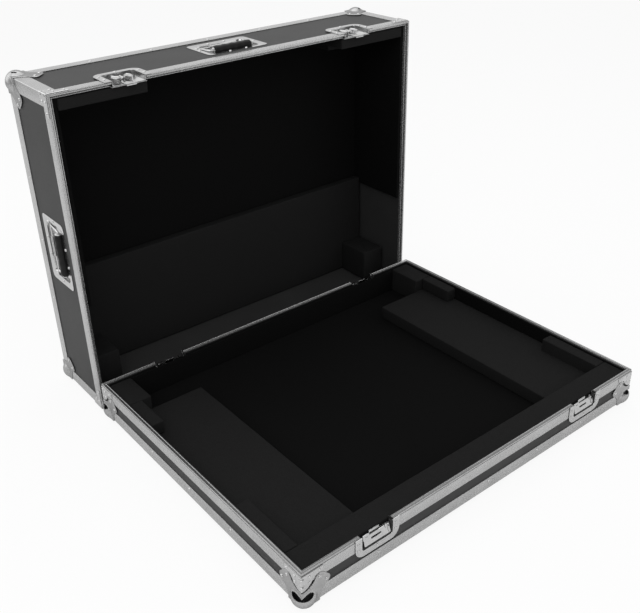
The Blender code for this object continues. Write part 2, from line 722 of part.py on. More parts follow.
def lid_foam(half):
    """Thin lining on the big panel and the side walls, a slab and blocks at the rear, pads at the front."""
    x = WIDTH / 2 - FOAM_INSET
    front, rear = -DEPTH / 2 + FOAM_INSET, DEPTH / 2 - FOAM_INSET
    back = half.height - BOARD_INSET - PANEL_BOARD - CLEARANCE
    face = back - LINING
    lining = block((-x, front, face), (x, rear, back))
    stand, top = DEPTH / 2, -DEPTH / 2
    pad_back = face - CLEARANCE
    for side in (-1, 1):
        near, far = sorted((side * (x - LINING), side * x))
        fuse(lining, block((near, front, LINING_START), (far, stand - LINING_END, face + METAL)))
    half.seat(lining, "foam_lining", "felt")
    slab_x = x - LINING - 2 * CLEARANCE
    slab_face = pad_back - LID_SLAB_THICK
    slab = block((-slab_x, stand - LID_SLAB_HEIGHT, slab_face), (slab_x, rear, pad_back))
    for side in (-1, 1):
        near, far = sorted((side * LID_BLOCK_X, side * slab_x))
        fuse(slab, block((near, stand - LID_BLOCK_HEIGHT, LID_BLOCK_W), (far, rear, slab_face + METAL)))
    half.seat(slab, "foam_slab", "foam")
    pad_x = x - LINING - CLEARANCE
    for name, side in (("foam_pad_left", -1), ("foam_pad_right", 1)):
        near, far = sorted((side * PAD_X, side * pad_x))
        pad = block((near, front, PAD_W[0]), (far, top + PAD_DROP, PAD_W[1]))
        near, far = sorted((side * PAD_STEP_X, side * pad_x))
        fuse(pad, block((near, front, PAD_STEP_W), (far, top + PAD_STEP_DROP, pad_back)))
        half.seat(pad, name, "foam")


def main():
    clear_scene()
    base, lid = make_halves()
    for half in (base, lid):
        boards(half)
        edge_frame(half)
        corner_hardware(half)
    base_rim(base)
    lid_rim(lid)
    latches(base, lid)
    handles(lid)
    base_foam(base)
    lid_foam(lid)


main()
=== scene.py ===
"""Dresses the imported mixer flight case: rounded extrusions, pressed hardware, cut foam and their finishes.

Shapes are worked out with the case closed: x runs along the front, y from front to back, and w is the
distance from the parting plane into a half.  place() then lays the base down and stands the lid up behind it.
"""

import math

import bmesh
import bpy
import numpy as np
from bpy.props import FloatProperty, FloatVectorProperty, PointerProperty
from mathutils import Matrix, Vector


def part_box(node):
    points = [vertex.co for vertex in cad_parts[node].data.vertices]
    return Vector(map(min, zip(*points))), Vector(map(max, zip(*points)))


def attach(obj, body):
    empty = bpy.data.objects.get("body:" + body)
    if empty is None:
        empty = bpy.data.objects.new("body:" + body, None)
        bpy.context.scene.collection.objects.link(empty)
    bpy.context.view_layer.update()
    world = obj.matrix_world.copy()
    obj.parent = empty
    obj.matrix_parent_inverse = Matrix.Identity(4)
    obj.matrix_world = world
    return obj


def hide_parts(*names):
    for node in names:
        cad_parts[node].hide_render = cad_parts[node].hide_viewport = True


bl_info = {
    "name": "Mixer Flight Case",
    "version": (1, 0, 0),
    "blender": (4, 5, 0),
    "location": "View3D > Sidebar > Flight Case",
    "description": "Builds the visible pieces of a mixer flight case round its packed solids",
    "category": "Add Mesh",
}

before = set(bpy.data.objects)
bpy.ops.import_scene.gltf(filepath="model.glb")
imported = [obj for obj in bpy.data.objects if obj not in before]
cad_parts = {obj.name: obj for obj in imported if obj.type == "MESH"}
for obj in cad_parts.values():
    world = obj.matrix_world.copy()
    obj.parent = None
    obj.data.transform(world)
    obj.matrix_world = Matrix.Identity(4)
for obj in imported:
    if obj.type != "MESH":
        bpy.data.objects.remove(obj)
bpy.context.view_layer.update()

# The case as packed, in metres: its size closed, its parting planes and the height of each half
BASE_FRAME, LID_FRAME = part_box("base_edge_frame"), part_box("lid_edge_frame")
PACKED_TONGUE = 0.009
WIDTH = BASE_FRAME[1].x - BASE_FRAME[0].x
DEPTH = BASE_FRAME[1].y - BASE_FRAME[0].y
BASE_Y = (BASE_FRAME[0].y + BASE_FRAME[1].y) / 2
BASE_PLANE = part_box("base_rim")[1].z - PACKED_TONGUE
LID_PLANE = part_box("lid_rim")[0].y
LID_Z = (LID_FRAME[0].z + LID_FRAME[1].z) / 2
HEIGHT = {"base": BASE_PLANE - BASE_FRAME[0].z, "lid": LID_FRAME[1].y - LID_PLANE}
WALLS = {"front": WIDTH / 2, "rear": WIDTH / 2, "left": DEPTH / 2, "right": DEPTH / 2}
CORNERS = {"front_left": (-1, -1), "front_right": (1, -1), "rear_left": (-1, 1), "rear_right": (1, 1)}
HANDS = {"left": -1, "right": 1}
CLEARANCE = 0.0003
HARD_EDGE = 0.0002
SOFT_EDGE = 0.0004
WELD = 0.000002

# Extrusions: insets from the outer face and depths w, where a pair is for the outer and the inner side
METAL = 0.0015
LEG = 0.030
RIM_DEPTH = 0.0126
RIM_WEB = 0.002
INNER_FLANGE = 0.010
TONGUE = (0.0005, 0.0085)
TONGUE_ROUND = (0.0016, 0.0008)
STEP = 0.0043
STEP_ROUND = (0.0003, 0.0009)
CHANNEL_MOUTH = (0.0028, 0.0074)
CHANNEL_FLOOR = (0.0034, 0.0068)
CHANNEL_DEPTH = 0.0010
FOOT_SLOT_INSET = 0.0024
FOOT_SLOT_MOUTH = 0.0010
FOOT_SLOT_FLOOR = 0.0008
LID_RIM_DEPTH = 0.0098
LID_RIM_ROUND = 0.0024
LID_LIP_SET_BACK = 0.0045
GROOVE = (0.0046, 0.0084)
GROOVE_ROUND = 0.0008
GROOVE_DEPTH = 0.010
GROOVE_BLOCK = 0.0115
LIP_START = 0.0112
ANGLE_END = 0.0345

# The fine line along the lid rim's outer face, from one depth w to another
LINE_MOUTH = (0.0034, 0.0048)
LINE_FLOOR = (0.0036, 0.0046)
LINE_INSET = 0.0011

# Ball corners and braces: plates stand out from the walls, and a ball's centre is as far in from all three
PLATE_OUT = 0.0018
PLATE = 0.0015
BALL_RADIUS = 0.025
BALL_CENTRE = 0.015
BALL_WALL = 0.0015
EDGE_TURN = 0.001

# Rivets: a head's outline is (share of its radius, height), and a place is from a corner or a middle
RIVET_HEAD = ((0, 0.0010), (0.26, 0.0011), (0.38, 0.0019), (0.66, 0.0017), (0.90, 0.0010), (1, 0.0001),
              (1, -0.0005), (0, -0.0005))
RIVET_SEGMENTS = 10
LOBE_RIVETS = ((0.0415, 0.0570), (0.0572, 0.0410))
BRACE_RIVETS = ((0.0180, 0.0138), (0.0176, 0.0285), (0.0412, 0.0122))
LATCH_RIVET = 0.0475
LATCH_RIVET_SHARES = (0.36, 0.82)
HANDLE_RIVET = (0.0225, 0.0485)
HANDLE_END_RIVET = 0.0765
RIVET_LINE = 0.0215
RIVETS_END = 0.085

# Latches: places along the wall from a latch's middle, insets from the wall's face, and depths w
LATCH_X = 0.318
RIM_CUT = 0.083
CUT_NEAR = LATCH_X - RIM_CUT / 2
CUT_FAR = LATCH_X + RIM_CUT / 2
LATCH_HALF = 0.0555
LATCH_CORNER = 0.022
LATCH_REACH = {"base": 0.0484, "lid": 0.071}
MOUTH_HALF = 0.039
MOUTH_REACH = {"base": 0.0348, "lid": 0.0565}
MOUTH_CORNER = 0.006
DISH_FLOOR = 0.0095
DISH_RUN = 0.0013
DISH_SHEET = 0.00102
BEAD_PLACE = 0.0016
BEAD_WIDTH = 0.0010
BEAD_HEIGHT = 0.0003
BACK_DROP = {"base": 0.0130, "lid": 0.0}
SPINDLE_W = 0.032
WING_REACH = 0.0235
WING_SPREAD = math.radians(40)
WING_LEVEL = 0.0020
WING_RIM = 0.0013
WING_SHEET = 0.0010
BARREL = 0.019
HOOK_HALF = 0.012
HOOK_FACES = (0.0074, 0.0090)
HOOK_TIP = (-0.0115, -0.0099)
HOOK_END = 0.047
HOOK_CATCH = 0.0118
HOOK_EDGE = 0.0005
STRIKE = ((0.0115, 0.0050), (0.0322, 0.0009))
STRIKE_SPAN = (-0.0305, 0.0362)
STRIKE_SHEET = 0.0011
STRIKE_SLOT = ((-0.0125, 0.0184), (0.0130, 0.0228))
BRACKET = ((-0.0335, 0.0045), (-0.0175, 0.0165))
BRACKET_HOLE = ((-0.0270, 0.0078), (-0.0225, 0.0120))
BRACKET_LIFT = 0.0026
BRACKET_SHEET = 0.0010
KEEPER_TAB = ((-0.0145, 0.0074, 0.0035), (0.0105, 0.0088, 0.0125))
KEEPER_RIDGES = ((0.0250, 0.0060, 0.0170), (0.0318, 0.0150, 0.0290))
RIDGE_RADIUS = 0.0024
RIDGE_SINK = 0.0006
BOARD_EDGE_BACK = 0.0088

# Handles: measured as the latches are, with half sizes as (along the wall, up it)
HANDLE_W = 0.107
HANDLE_HALF = (0.083, 0.056)
HANDLE_CORNER = 0.012
HANDLE_MOUTH = (0.069, 0.042)
HANDLE_MOUTH_CORNER = 0.014
HANDLE_FLOOR = 0.0115
HANDLE_RUN = 0.0022
FLANGE_LEVEL = 0.0004
FLANGE_SLOPE = 0.0014
FLANGE_WIDTH = 0.014
LUG = (0.0645, 0.0694)
LUG_HALF = 0.006
LUG_ROUND = 0.0018
BAIL_ROD = 0.003
BAIL_LEVEL = 0.006
BAIL_TOP = 0.137
PIN_ROD = 0.0024
PIN_HALF = 0.0665
SPRING_SPAN = (-0.030, 0.022)
SPRING_TURNS = 15
SPRING_RADIUS = 0.0040
SPRING_WIRE = 0.0008
GRIP_W = 0.085
GRIP_LEVEL = 0.0006
GRIP_RADIUS = 0.0102
GRIP_HALF = 0.052
GRIP_NECK = 0.0036
GRIP_WAVE = 0.00035

# Foam: places x and y on the right-hand side, and depths w
FOAM_INSET = 0.013
FOAM_X = WIDTH / 2 - FOAM_INSET
FOAM_Y = DEPTH / 2 - FOAM_INSET
FOAM_TOP = 0.006
FOAM_SWELL = 0.0006
SEAM = 0.0004
FELT_EDGE = 0.0002
BASE_LINING = (0.0749, 0.0769)
BASE_FOOT = 0.0746
WALL_LINING_TOP = 0.0038
REAR_FELT = 0.0035
REAR_FELT_TOP = 0.008
BAR_BACK = -0.321
WALL_BLOCK_X = 0.455
WALL_BLOCK_ENDS = (-0.158, 0.172)
SLAB_X = 0.297
SLAB_TOP = 0.040
END_BLOCK = (0.430, 0.274)
LID_LINING = 0.008
LID_FACE = 0.1969
LID_WALL_END = 0.108
LID_WALL_TOP = 0.010
LID_SLAB = (0.091, 0.1726)
LID_BLOCK = (0.407, 0.285, 0.068)
LID_PAD = 0.090
LID_PAD_X = (0.273, 0.298)
LID_PAD_BACK = (-0.349, -0.328)

# Finishes: levels and shares of a colour
NOISE_MIDDLE = (0.3, 0.7)
# Painted shade: the band round the base's parting plane, the least upward normal, and the share of colour
# kept there
MATING_BAND = 0.0025
MATING_UPWARD = 0.8
MATING_SHADE = 0.45
# Painted shade: share of the steel's colour for the ball corners, and the grey tint that dulls their edges'
# reflection
CORNER_PAINTED_SHADE = 0.84
CORNER_TINT = 0.65
# Painted highlight: share of the steel's colour for the lighter rivets
RIVET_PAINTED_LIGHT = 1.2

# The photograph's camera
CAMERA_AZIMUTH = -38.16
CAMERA_ELEVATION = 29.85
CAMERA_ROLL = -1.36
CAMERA_DISTANCE = 1.805
CAMERA_TARGET = (-0.1676, -0.153, 0.3673)
CAMERA_FOCAL = 862.3
IMAGE_WIDTH = 640

# The studio: a lamp is a name, a place, a target, a size and its energy
FLOOR_REACH = 6.0
FLOOR_GLOW = 0.90
ROOM_SPAN = (-0.35, 0.45)
ROOM_STRENGTH = (0.12, 0.80)
PLAIN_STRENGTH = 0.55
LAMPS = (("key", (-1.6, -1.8, 3.0), (0, -0.1, 0.3), (3.2, 3.2), 46),
         ("fill", (2.6, -2.2, 1.6), (0, 0, 0.3), (2.4, 2.4), 18),
         ("top", (0.2, 0.9, 3.2), (0, 0.2, 0.3), (3.4, 2.6), 26),
         ("back", (-1.8, 2.6, 1.8), (0, 0.3, 0.4), (2.4, 2.4), 14))

FINISH = {}


# Settings

class CaseSizes(bpy.types.PropertyGroup):
    """Sizes that a user may change."""
    rivet_radius: FloatProperty(name="Rivet Radius", description="Radius of a rivet's head", default=0.0034,
                                unit="LENGTH")
    rivet_pitch: FloatProperty(name="Rivet Pitch", description="Distance between the rivets along an edge",
                               default=0.157, unit="LENGTH")
    edge_radius: FloatProperty(name="Edge Radius", description="Rounding of the extrusions' outer corner",
                               default=0.0022, unit="LENGTH")
    foam_round: FloatProperty(name="Foam Rounding", description="Rounding of the foam's cut edges",
                              default=0.0030, unit="LENGTH")
    fold_radius: FloatProperty(name="Fold Radius", description="Outer radius of a corner brace's fold",
                               default=0.0026, unit="LENGTH")


class CaseColours(bpy.types.PropertyGroup):
    """Base colours of the finishes."""
    aluminium: FloatVectorProperty(name="Aluminium", description="Anodised extrusions", subtype="COLOR",
                                   size=3, default=(0.52, 0.52, 0.52), min=0, max=1)
    steel: FloatVectorProperty(name="Plated Steel", description="Pressed hardware", subtype="COLOR", size=3,
                               default=(0.60, 0.60, 0.60), min=0, max=1)
    laminate: FloatVectorProperty(name="Laminate", description="Board faces", subtype="COLOR", size=3,
                                  default=(0.031, 0.031, 0.031), min=0, max=1)
    foam: FloatVectorProperty(name="Foam", description="Cut foam", subtype="COLOR", size=3,
                              default=(0.012, 0.012, 0.012), min=0, max=1)
    felt: FloatVectorProperty(name="Lining", description="Linings of the base and the lid", subtype="COLOR",
                              size=3, default=(0.0045, 0.0045, 0.0045), min=0, max=1)
    rubber: FloatVectorProperty(name="Grip", description="Moulded handle grips", subtype="COLOR", size=3,
                                default=(0.006, 0.006, 0.006), min=0, max=1)
    floor: FloatVectorProperty(name="Floor", description="Studio floor", subtype="COLOR", size=3,
                               default=(0.85, 0.85, 0.85), min=0, max=1)


# Placing

def place(half, points):
    """World points of closed-case points (x, y, w) on the base or on the lid."""
    x, y, w = np.moveaxis(np.asarray(points, float), -1, 0)
    if half == "base":
        return np.stack([x, y + BASE_Y, BASE_PLANE - w], -1)
    return np.stack([x, LID_PLANE + w, LID_Z - y], -1)


def on_wall(side, middle, points):
    """Closed-case points of wall points (along, inset, w), centred on a place along that wall."""
    along, inset, w = np.moveaxis(np.asarray(points, float), -1, 0)
    along = along + middle
    if side == "front":
        return np.stack([along, inset - DEPTH / 2, w], -1)
    if side == "rear":
        return np.stack([along, DEPTH / 2 - inset, w], -1)
    return np.stack([HANDS[side] * (WIDTH / 2 - inset), along, w], -1)


def at_corner(corner, points, start, step):
    """Closed-case points of corner points (a, b, c), measured inward from a corner of the case."""
    side_x, side_y = CORNERS[corner]
    a, b, c = np.moveaxis(np.asarray(points, float), -1, 0)
    return np.stack([side_x * (WIDTH / 2 - a), side_y * (DEPTH / 2 - b), start + step * c], -1)


def placed(half, part, side=None, middle=0.0):
    """A part of closed-case points, or of a wall's points where a side is named, in the world."""
    points, quads, caps = part
    return place(half, on_wall(side, middle, points) if side else points), quads, caps


# Lines and values

def soft_max(first, second, blend):
    """The larger of two values, rounded over a distance where they cross."""
    near = np.maximum(blend - np.abs(first - second), 0) / blend
    return np.maximum(first, second) + near ** 2 * blend / 4


def smooth(value):
    """0 below 0, 1 above 1, and a smooth step between."""
    t = np.clip(value, 0, 1)
    return t * t * (3 - 2 * t)


def mirrored(values):
    """Values that rise from 0, after their negatives."""
    return np.concatenate([-values[:0:-1], values])


def rounded(outline, radii, steps=3):
    """Closed outline whose corners are quadratic curves between points cut at a radius along both sides."""
    most_of_side = 0.48
    corner = np.asarray(outline, float)
    radii = np.broadcast_to(np.asarray(radii, float), len(corner))[:, None]
    back, ahead = np.roll(corner, 1, 0) - corner, np.roll(corner, -1, 0) - corner
    back_length = np.linalg.norm(back, axis=1, keepdims=True)
    ahead_length = np.linalg.norm(ahead, axis=1, keepdims=True)
    start = corner + back / back_length * np.minimum(radii, most_of_side * back_length)
    end = corner + ahead / ahead_length * np.minimum(radii, most_of_side * ahead_length)
    t = np.linspace(0, 1, steps + 1)[None, :, None]
    curve = (1 - t) ** 2 * start[:, None] + 2 * t * (1 - t) * corner[:, None] + t ** 2 * end[:, None]
    return curve.reshape(-1, corner.shape[1])


def box_outline(low, high, radius, steps=5):
    """Rectangle between two corners, with rounded corners."""
    (a0, w0), (a1, w1) = low, high
    return rounded([(a0, w0), (a1, w0), (a1, w1), (a0, w1)], radius, steps)


def box_distance(along, across, half_along, half_across, radius):
    """Distance outside a box with rounded corners, negative inside."""
    qa = np.abs(along) - half_along + radius
    qc = np.abs(across) - half_across + radius
    return np.hypot(np.maximum(qa, 0), np.maximum(qc, 0)) + np.minimum(np.maximum(qa, qc), 0) - radius


def through(points, steps):
    """Smooth curve through points: a cubic between neighbours, whose slopes follow the points either side."""
    p = np.asarray(points, float)
    q = np.concatenate([2 * p[:1] - p[1:2], p, 2 * p[-1:] - p[-2:-1]])
    before, here, there, after = (v[:, None] for v in (q[:-3], q[1:-2], q[2:-1], q[3:]))
    t = np.linspace(0, 1, steps, endpoint=False)[None, :, None]
    curve = 0.5 * (2 * here + (there - before) * t + (2 * before - 5 * here + 4 * there - after) * t ** 2
                   + (3 * here - before - 3 * there + after) * t ** 3)
    return np.concatenate([curve.reshape(-1, p.shape[1]), p[-1:]])


def square_to(axis, hint):
    """Two unit directions square to each axis and to each other, the first of them square to the hint too."""
    aside = np.cross(axis, hint)
    aside /= np.linalg.norm(aside, axis=-1, keepdims=True)
    return aside[..., None, :], np.cross(axis, aside)[..., None, :]


def full_turn(segments):
    """Angles of even steps round a circle, one to a row."""
    return np.linspace(0, 2 * math.pi, segments, endpoint=False)[:, None]


# Surfaces as arrays: a part is (points, quads, caps)

def quads_of(rows, columns, wrap_rows=False, wrap_columns=False):
    """Quads of a grid of points, numbered row by row."""
    i = np.arange(rows - (not wrap_rows))[:, None]
    j = np.arange(columns - (not wrap_columns))[None]
    here, ahead, across = i * columns, (i + 1) % rows * columns, (j + 1) % columns
    return np.stack([here + j, here + across, ahead + across, ahead + j], -1).reshape(-1, 4)


def joined(parts):
    """Several parts as one."""
    points, quads, caps, start = [], [], [], 0
    for p, q, ends in parts:
        points.append(p)
        quads.append(q + start)
        caps += [end + start for end in ends]
        start += len(p)
    return np.concatenate(points), np.concatenate(quads), caps


def capped(rings):
    """Closed rings of points (ring, point, xyz), joined in order, with a cap on the first and on the last."""
    rows, columns = rings.shape[:2]
    ends = [np.arange(columns), np.arange(columns) + (rows - 1) * columns]
    return rings.reshape(-1, 3), quads_of(rows, columns, wrap_columns=True), ends


def extrusion(profile, stations, first, second):
    """Closed profile (a, b) at every station: point = station + a * first + b * second, capped at both ends.

    A direction is given for each station, or one for all of them.
    """
    shape = np.shape(stations)
    stations, first, second = (np.broadcast_to(np.asarray(v, float), shape)[:, None]
                               for v in (stations, first, second))
    return capped(stations + profile[None, :, :1] * first + profile[None, :, 1:] * second)


def layered(outer, inner, quads, border):
    """Two layers of points with the same quads, joined by a strip along a line of border points."""
    count = len(outer)
    strip = np.stack([border[:-1], border[1:], border[1:] + count, border[:-1] + count], -1)
    return np.concatenate([outer, inner]), np.concatenate([quads, quads + count, strip]), []


def sheet_of(outer, thickness, inward):
    """Closed sheet: a grid, the same grid moved in along its normals, and a strip round the border."""
    normal = np.cross(np.gradient(outer, axis=0), np.gradient(outer, axis=1))
    normal /= np.maximum(np.linalg.norm(normal, axis=-1, keepdims=True), 1e-12)
    normal *= np.sign((normal * np.asarray(inward)).sum(-1).mean())
    inner = outer + normal * thickness
    rows, columns = outer.shape[:2]
    index = np.arange(rows * columns).reshape(rows, columns)
    border = np.concatenate([index[0, :-1], index[:-1, -1], index[-1, :0:-1], index[:0:-1, 0], index[0, :1]])
    return layered(outer.reshape(-1, 3), inner.reshape(-1, 3), quads_of(rows, columns), border)


def plate_grid(rows, columns, half_size, corner, steady):
    """Places (along, across) of a plate with round corners, in rows across it.

    Columns nearer the middle than the steady distance keep their place.  The others are squeezed between that
    distance and the plate's half width in their row, which follows the round corner.
    """
    half_along, half_across = half_size
    over = np.clip(np.abs(rows) - half_across + corner, 0, corner)
    half_width = half_along - corner + np.sqrt(np.maximum(corner ** 2 - over ** 2, 0))
    scale = (half_width[:, None] - steady) / (half_along - steady)
    away = np.abs(columns)
    along = np.sign(columns) * (np.minimum(away, steady) + np.maximum(away - steady, 0) * scale)
    return along, np.broadcast_to(rows[:, None], along.shape)


def tube(path, radius, segments=14):
    """Round bar along a path: circles in the plane square to the path, with a cap on each end."""
    path = np.asarray(path, float)
    radius = np.broadcast_to(np.asarray(radius, float), len(path))[:, None, None]
    along = np.gradient(path, axis=0)
    along /= np.linalg.norm(along, axis=1, keepdims=True)
    aside, above = square_to(along, (0.03, 1.0, 0.02))
    turn = full_turn(segments)
    return capped(path[:, None] + radius * (np.cos(turn) * aside - np.sin(turn) * above))


def turned(profile, origin, axis, segments=24, hint=(0.31, 0.83, 0.47)):
    """Lathe work: a profile (radius, height) swept round the unit axis through an origin, closed on the axis.

    Rows of origins and axes give as many turned shapes.
    """
    profile, origin, axis = (np.asarray(v, float) for v in (profile, origin, axis))
    aside, above = square_to(axis, hint)
    turn = full_turn(segments)
    ring = (np.cos(turn) * aside + np.sin(turn) * above)[..., None, :, :]
    points = origin[..., None, None, :] + profile[:, None, :1] * ring
    points = points + profile[:, None, 1:] * axis[..., None, None, :]
    quads = quads_of(len(profile), segments, wrap_columns=True)
    starts = np.arange(origin.size // 3)[:, None, None] * len(profile) * segments
    return points.reshape(-1, 3), (quads + starts).reshape(-1, 4), []


def soft_block(low, high, radius, swell=0.0):
    """Box with rounded edges: a point of the plain box is drawn in to the radius from its inner box.

    The faces swell by the product of two slow waves, as cut foam does.
    """
    first_wave, second_wave, shift = (23.0, 31.0, 17.0), (-41.0, 13.0, 29.0), 1.3
    spacing = 0.025
    low, high = np.asarray(low, float), np.asarray(high, float)
    radius = min(radius, 0.45 * (high - low).min())
    ease = np.array([0, 0.35, 0.7, 1.0]) * radius
    parts = []
    for axis in range(3):
        u, v = (axis + 1) % 3, (axis + 2) % 3
        lines = []
        for k in (u, v):
            count = max(2, int((high[k] - low[k]) / spacing))
            middle = np.linspace(low[k] + radius, high[k] - radius, count + 1)
            lines.append(np.concatenate([low[k] + ease[:-1], middle, high[k] - ease[-2::-1]]))
        grid_u, grid_v = np.meshgrid(*lines, indexing="ij")
        for level in (low[axis], high[axis]):
            q = np.empty(grid_u.shape + (3,))
            q[..., axis], q[..., u], q[..., v] = level, grid_u, grid_v
            inner = np.clip(q, low + radius, high - radius)
            out = q - inner
            out /= np.maximum(np.linalg.norm(out, axis=-1, keepdims=True), 1e-9)
            p = inner + radius * out
            wave = np.sin(p @ first_wave) * np.sin(p @ second_wave + shift)
            p = p + out * (swell * (wave - 1.0) / 2)[..., None]
            parts.append((p.reshape(-1, 3), quads_of(*grid_u.shape), []))
    return joined(parts)


# Objects

def mesh_of(name, part):
    """Mesh of a part's points, quads and caps."""
    points, quads, caps = part
    mesh = bpy.data.meshes.new(name)
    mesh.from_pydata(points.tolist(), [], quads.tolist() + [cap.tolist() for cap in caps])
    return mesh


def face_outward(mesh, weld=False):
    """Turns a closed mesh's faces outward, and welds its double points first where asked."""
    bm = bmesh.new()
    bm.from_mesh(mesh)
    if weld:
        bmesh.ops.remove_doubles(bm, verts=bm.verts, dist=WELD)
        bmesh.ops.dissolve_degenerate(bm, dist=WELD, edges=bm.edges)
    bm.normal_update()
    bmesh.ops.recalc_face_normals(bm, faces=bm.faces)
    bm.to_mesh(mesh)
    bm.free()


def shown(name, data):
    """New object in the scene."""
    made = bpy.data.objects.new(name, data)
    bpy.context.scene.collection.objects.link(made)
    return made


def add_piece(name, part, finish, body, replaces=(), sharp=35):
    """A welded, outward mesh object that rides on a body and stands for CAD nodes."""
    mesh = mesh_of(name, part)
    face_outward(mesh, weld=True)
    return dress(shown(name, mesh), finish, body, replaces, sharp)


def dress(made, finish, body, replaces, sharp=35):
    """Gives an object its finish and smooth shading, sets it on its body and hides the parts it replaces."""
    made.data.materials.clear()
    made.data.materials.append(FINISH[finish])
    made.data.shade_smooth()
    made.data.set_sharp_from_angle(angle=math.radians(sharp))
    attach(made, body)
    if replaces:
        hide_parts(*replaces)
    return made


def cut_out(made, part):
    """Cuts a closed part out of an object with an exact Boolean."""
    mesh = mesh_of("cutter", part)
    face_outward(mesh)
    tool = shown("cutter", mesh)
    step = made.modifiers.new("cut", "BOOLEAN")
    step.operation = "DIFFERENCE"
    step.solver = "EXACT"
    step.object = tool
    graph = bpy.context.evaluated_depsgraph_get()
    result = bpy.data.meshes.new_from_object(made.evaluated_get(graph))
    made.modifiers.clear()
    made.data = result
    bpy.data.objects.remove(tool, do_unlink=True)


# Finishes

class Tree:
    """The node tree of a material or a world, with short ways to add to it."""

    def __init__(self, owner):
        owner.use_nodes = True
        self.nodes, self.links = owner.node_tree.nodes, owner.node_tree.links

    def feed(self, given, socket):
        """Links a given socket to a socket, or sets that one to a given value."""
        if isinstance(given, bpy.types.NodeSocket):
            self.links.new(given, socket)
        else:
            socket.default_value = given

    def node(self, kind, **values):
        """A new node, each value fed to the socket, or put in the setting, that it is named for."""
        made = self.nodes.new(kind)
        for key, value in values.items():
            if key in made.inputs:
                self.feed(value, made.inputs[key])
            else:
                setattr(made, key, value)
        return made

    def maths(self, operation, *values, clamp=False):
        """A Math node's value."""
        made = self.node("ShaderNodeMath", operation=operation, use_clamp=clamp)
        for value, socket in zip(values, made.inputs):
            self.feed(value, socket)
        return made.outputs[0]

    def split(self, vector):
        """The X, Y and Z of a vector."""
        return self.node("ShaderNodeSeparateXYZ", Vector=vector).outputs

    def ranged(self, value, from_span, to_span):
        """A value stretched from one span to another, and held inside it."""
        spans = dict(zip(("From Min", "From Max", "To Min", "To Max"), (*from_span, *to_span)))
        return self.node("ShaderNodeMapRange", Value=value, **spans).outputs["Result"]

    def mixed(self, factor, first, second, blend="MIX"):
        """A blend of two colours, which a Mix node takes at its sockets 6 and 7 and gives at 2."""
        made = self.node("ShaderNodeMix", data_type="RGBA", blend_type=blend)
        for value, index in ((factor, 0), (first, 6), (second, 7)):
            self.feed(value, made.inputs[index])
        return made.outputs[2]


class Finish(Tree):
    """A Principled material whose patterns read Object coordinates."""

    def __init__(self, slot, name, colour, roughness, metallic=0.0, specular=0.5):
        FINISH[slot] = bpy.data.materials.new(name)
        super().__init__(FINISH[slot])
        self.sockets = self.nodes["Principled BSDF"].inputs
        self.feed((*colour, 1.0), self.sockets["Base Color"])
        self.feed(roughness, self.sockets["Roughness"])
        self.feed(metallic, self.sockets["Metallic"])
        self.feed(specular, self.sockets["Specular IOR Level"])
        self.coordinates = self.node("ShaderNodeTexCoord").outputs["Object"]
        self.colour = colour
        self.height = None

    def noise(self, scale, detail=3.0, roughness=0.55):
        """Cloudy values round 0.5, finer as the scale grows."""
        return self.node("ShaderNodeTexNoise", Scale=scale, Detail=detail, Roughness=roughness,
                         Vector=self.coordinates).outputs["Fac"]

    def mottle(self, value, low, high):
        """Colour between a darker and a lighter share of the base colour."""
        dark = (*(c * low for c in self.colour), 1.0)
        light = (*(min(1.0, c * high) for c in self.colour), 1.0)
        share = self.ranged(value, NOISE_MIDDLE, (0.0, 1.0))
        self.feed(self.mixed(share, dark, light), self.sockets["Base Color"])

    def roughen(self, value, low, high):
        """Roughness between two levels."""
        self.feed(self.ranged(value, NOISE_MIDDLE, (low, high)), self.sockets["Roughness"])

    def bump(self, value, strength, distance):
        """A fine relief on top of those before it."""
        made = self.node("ShaderNodeBump", Strength=strength, Distance=distance, Height=value)
        if self.height:
            self.feed(self.height, made.inputs["Normal"])
        self.height = made.outputs["Normal"]
        self.feed(self.height, self.sockets["Normal"])

    def paint_mating_face_shade(self):
        """Painted shade: darker on upward faces at the base's parting plane, in front of its rear rim."""
        spot = self.split(self.coordinates)
        facing = self.split(self.node("ShaderNodeNewGeometry").outputs["Normal"])
        near = self.maths("COMPARE", spot["Z"], BASE_PLANE, MATING_BAND)
        front = self.maths("LESS_THAN", spot["Y"], BASE_Y + DEPTH / 2 - RIM_DEPTH)
        upward = self.maths("GREATER_THAN", facing["Z"], MATING_UPWARD)
        where = self.maths("MULTIPLY", self.maths("MULTIPLY", near, front), upward)
        colour = self.sockets["Base Color"]
        shade = (MATING_SHADE, MATING_SHADE, MATING_SHADE, 1.0)
        self.feed(self.mixed(where, colour.links[0].from_socket, shade, "MULTIPLY"), colour)


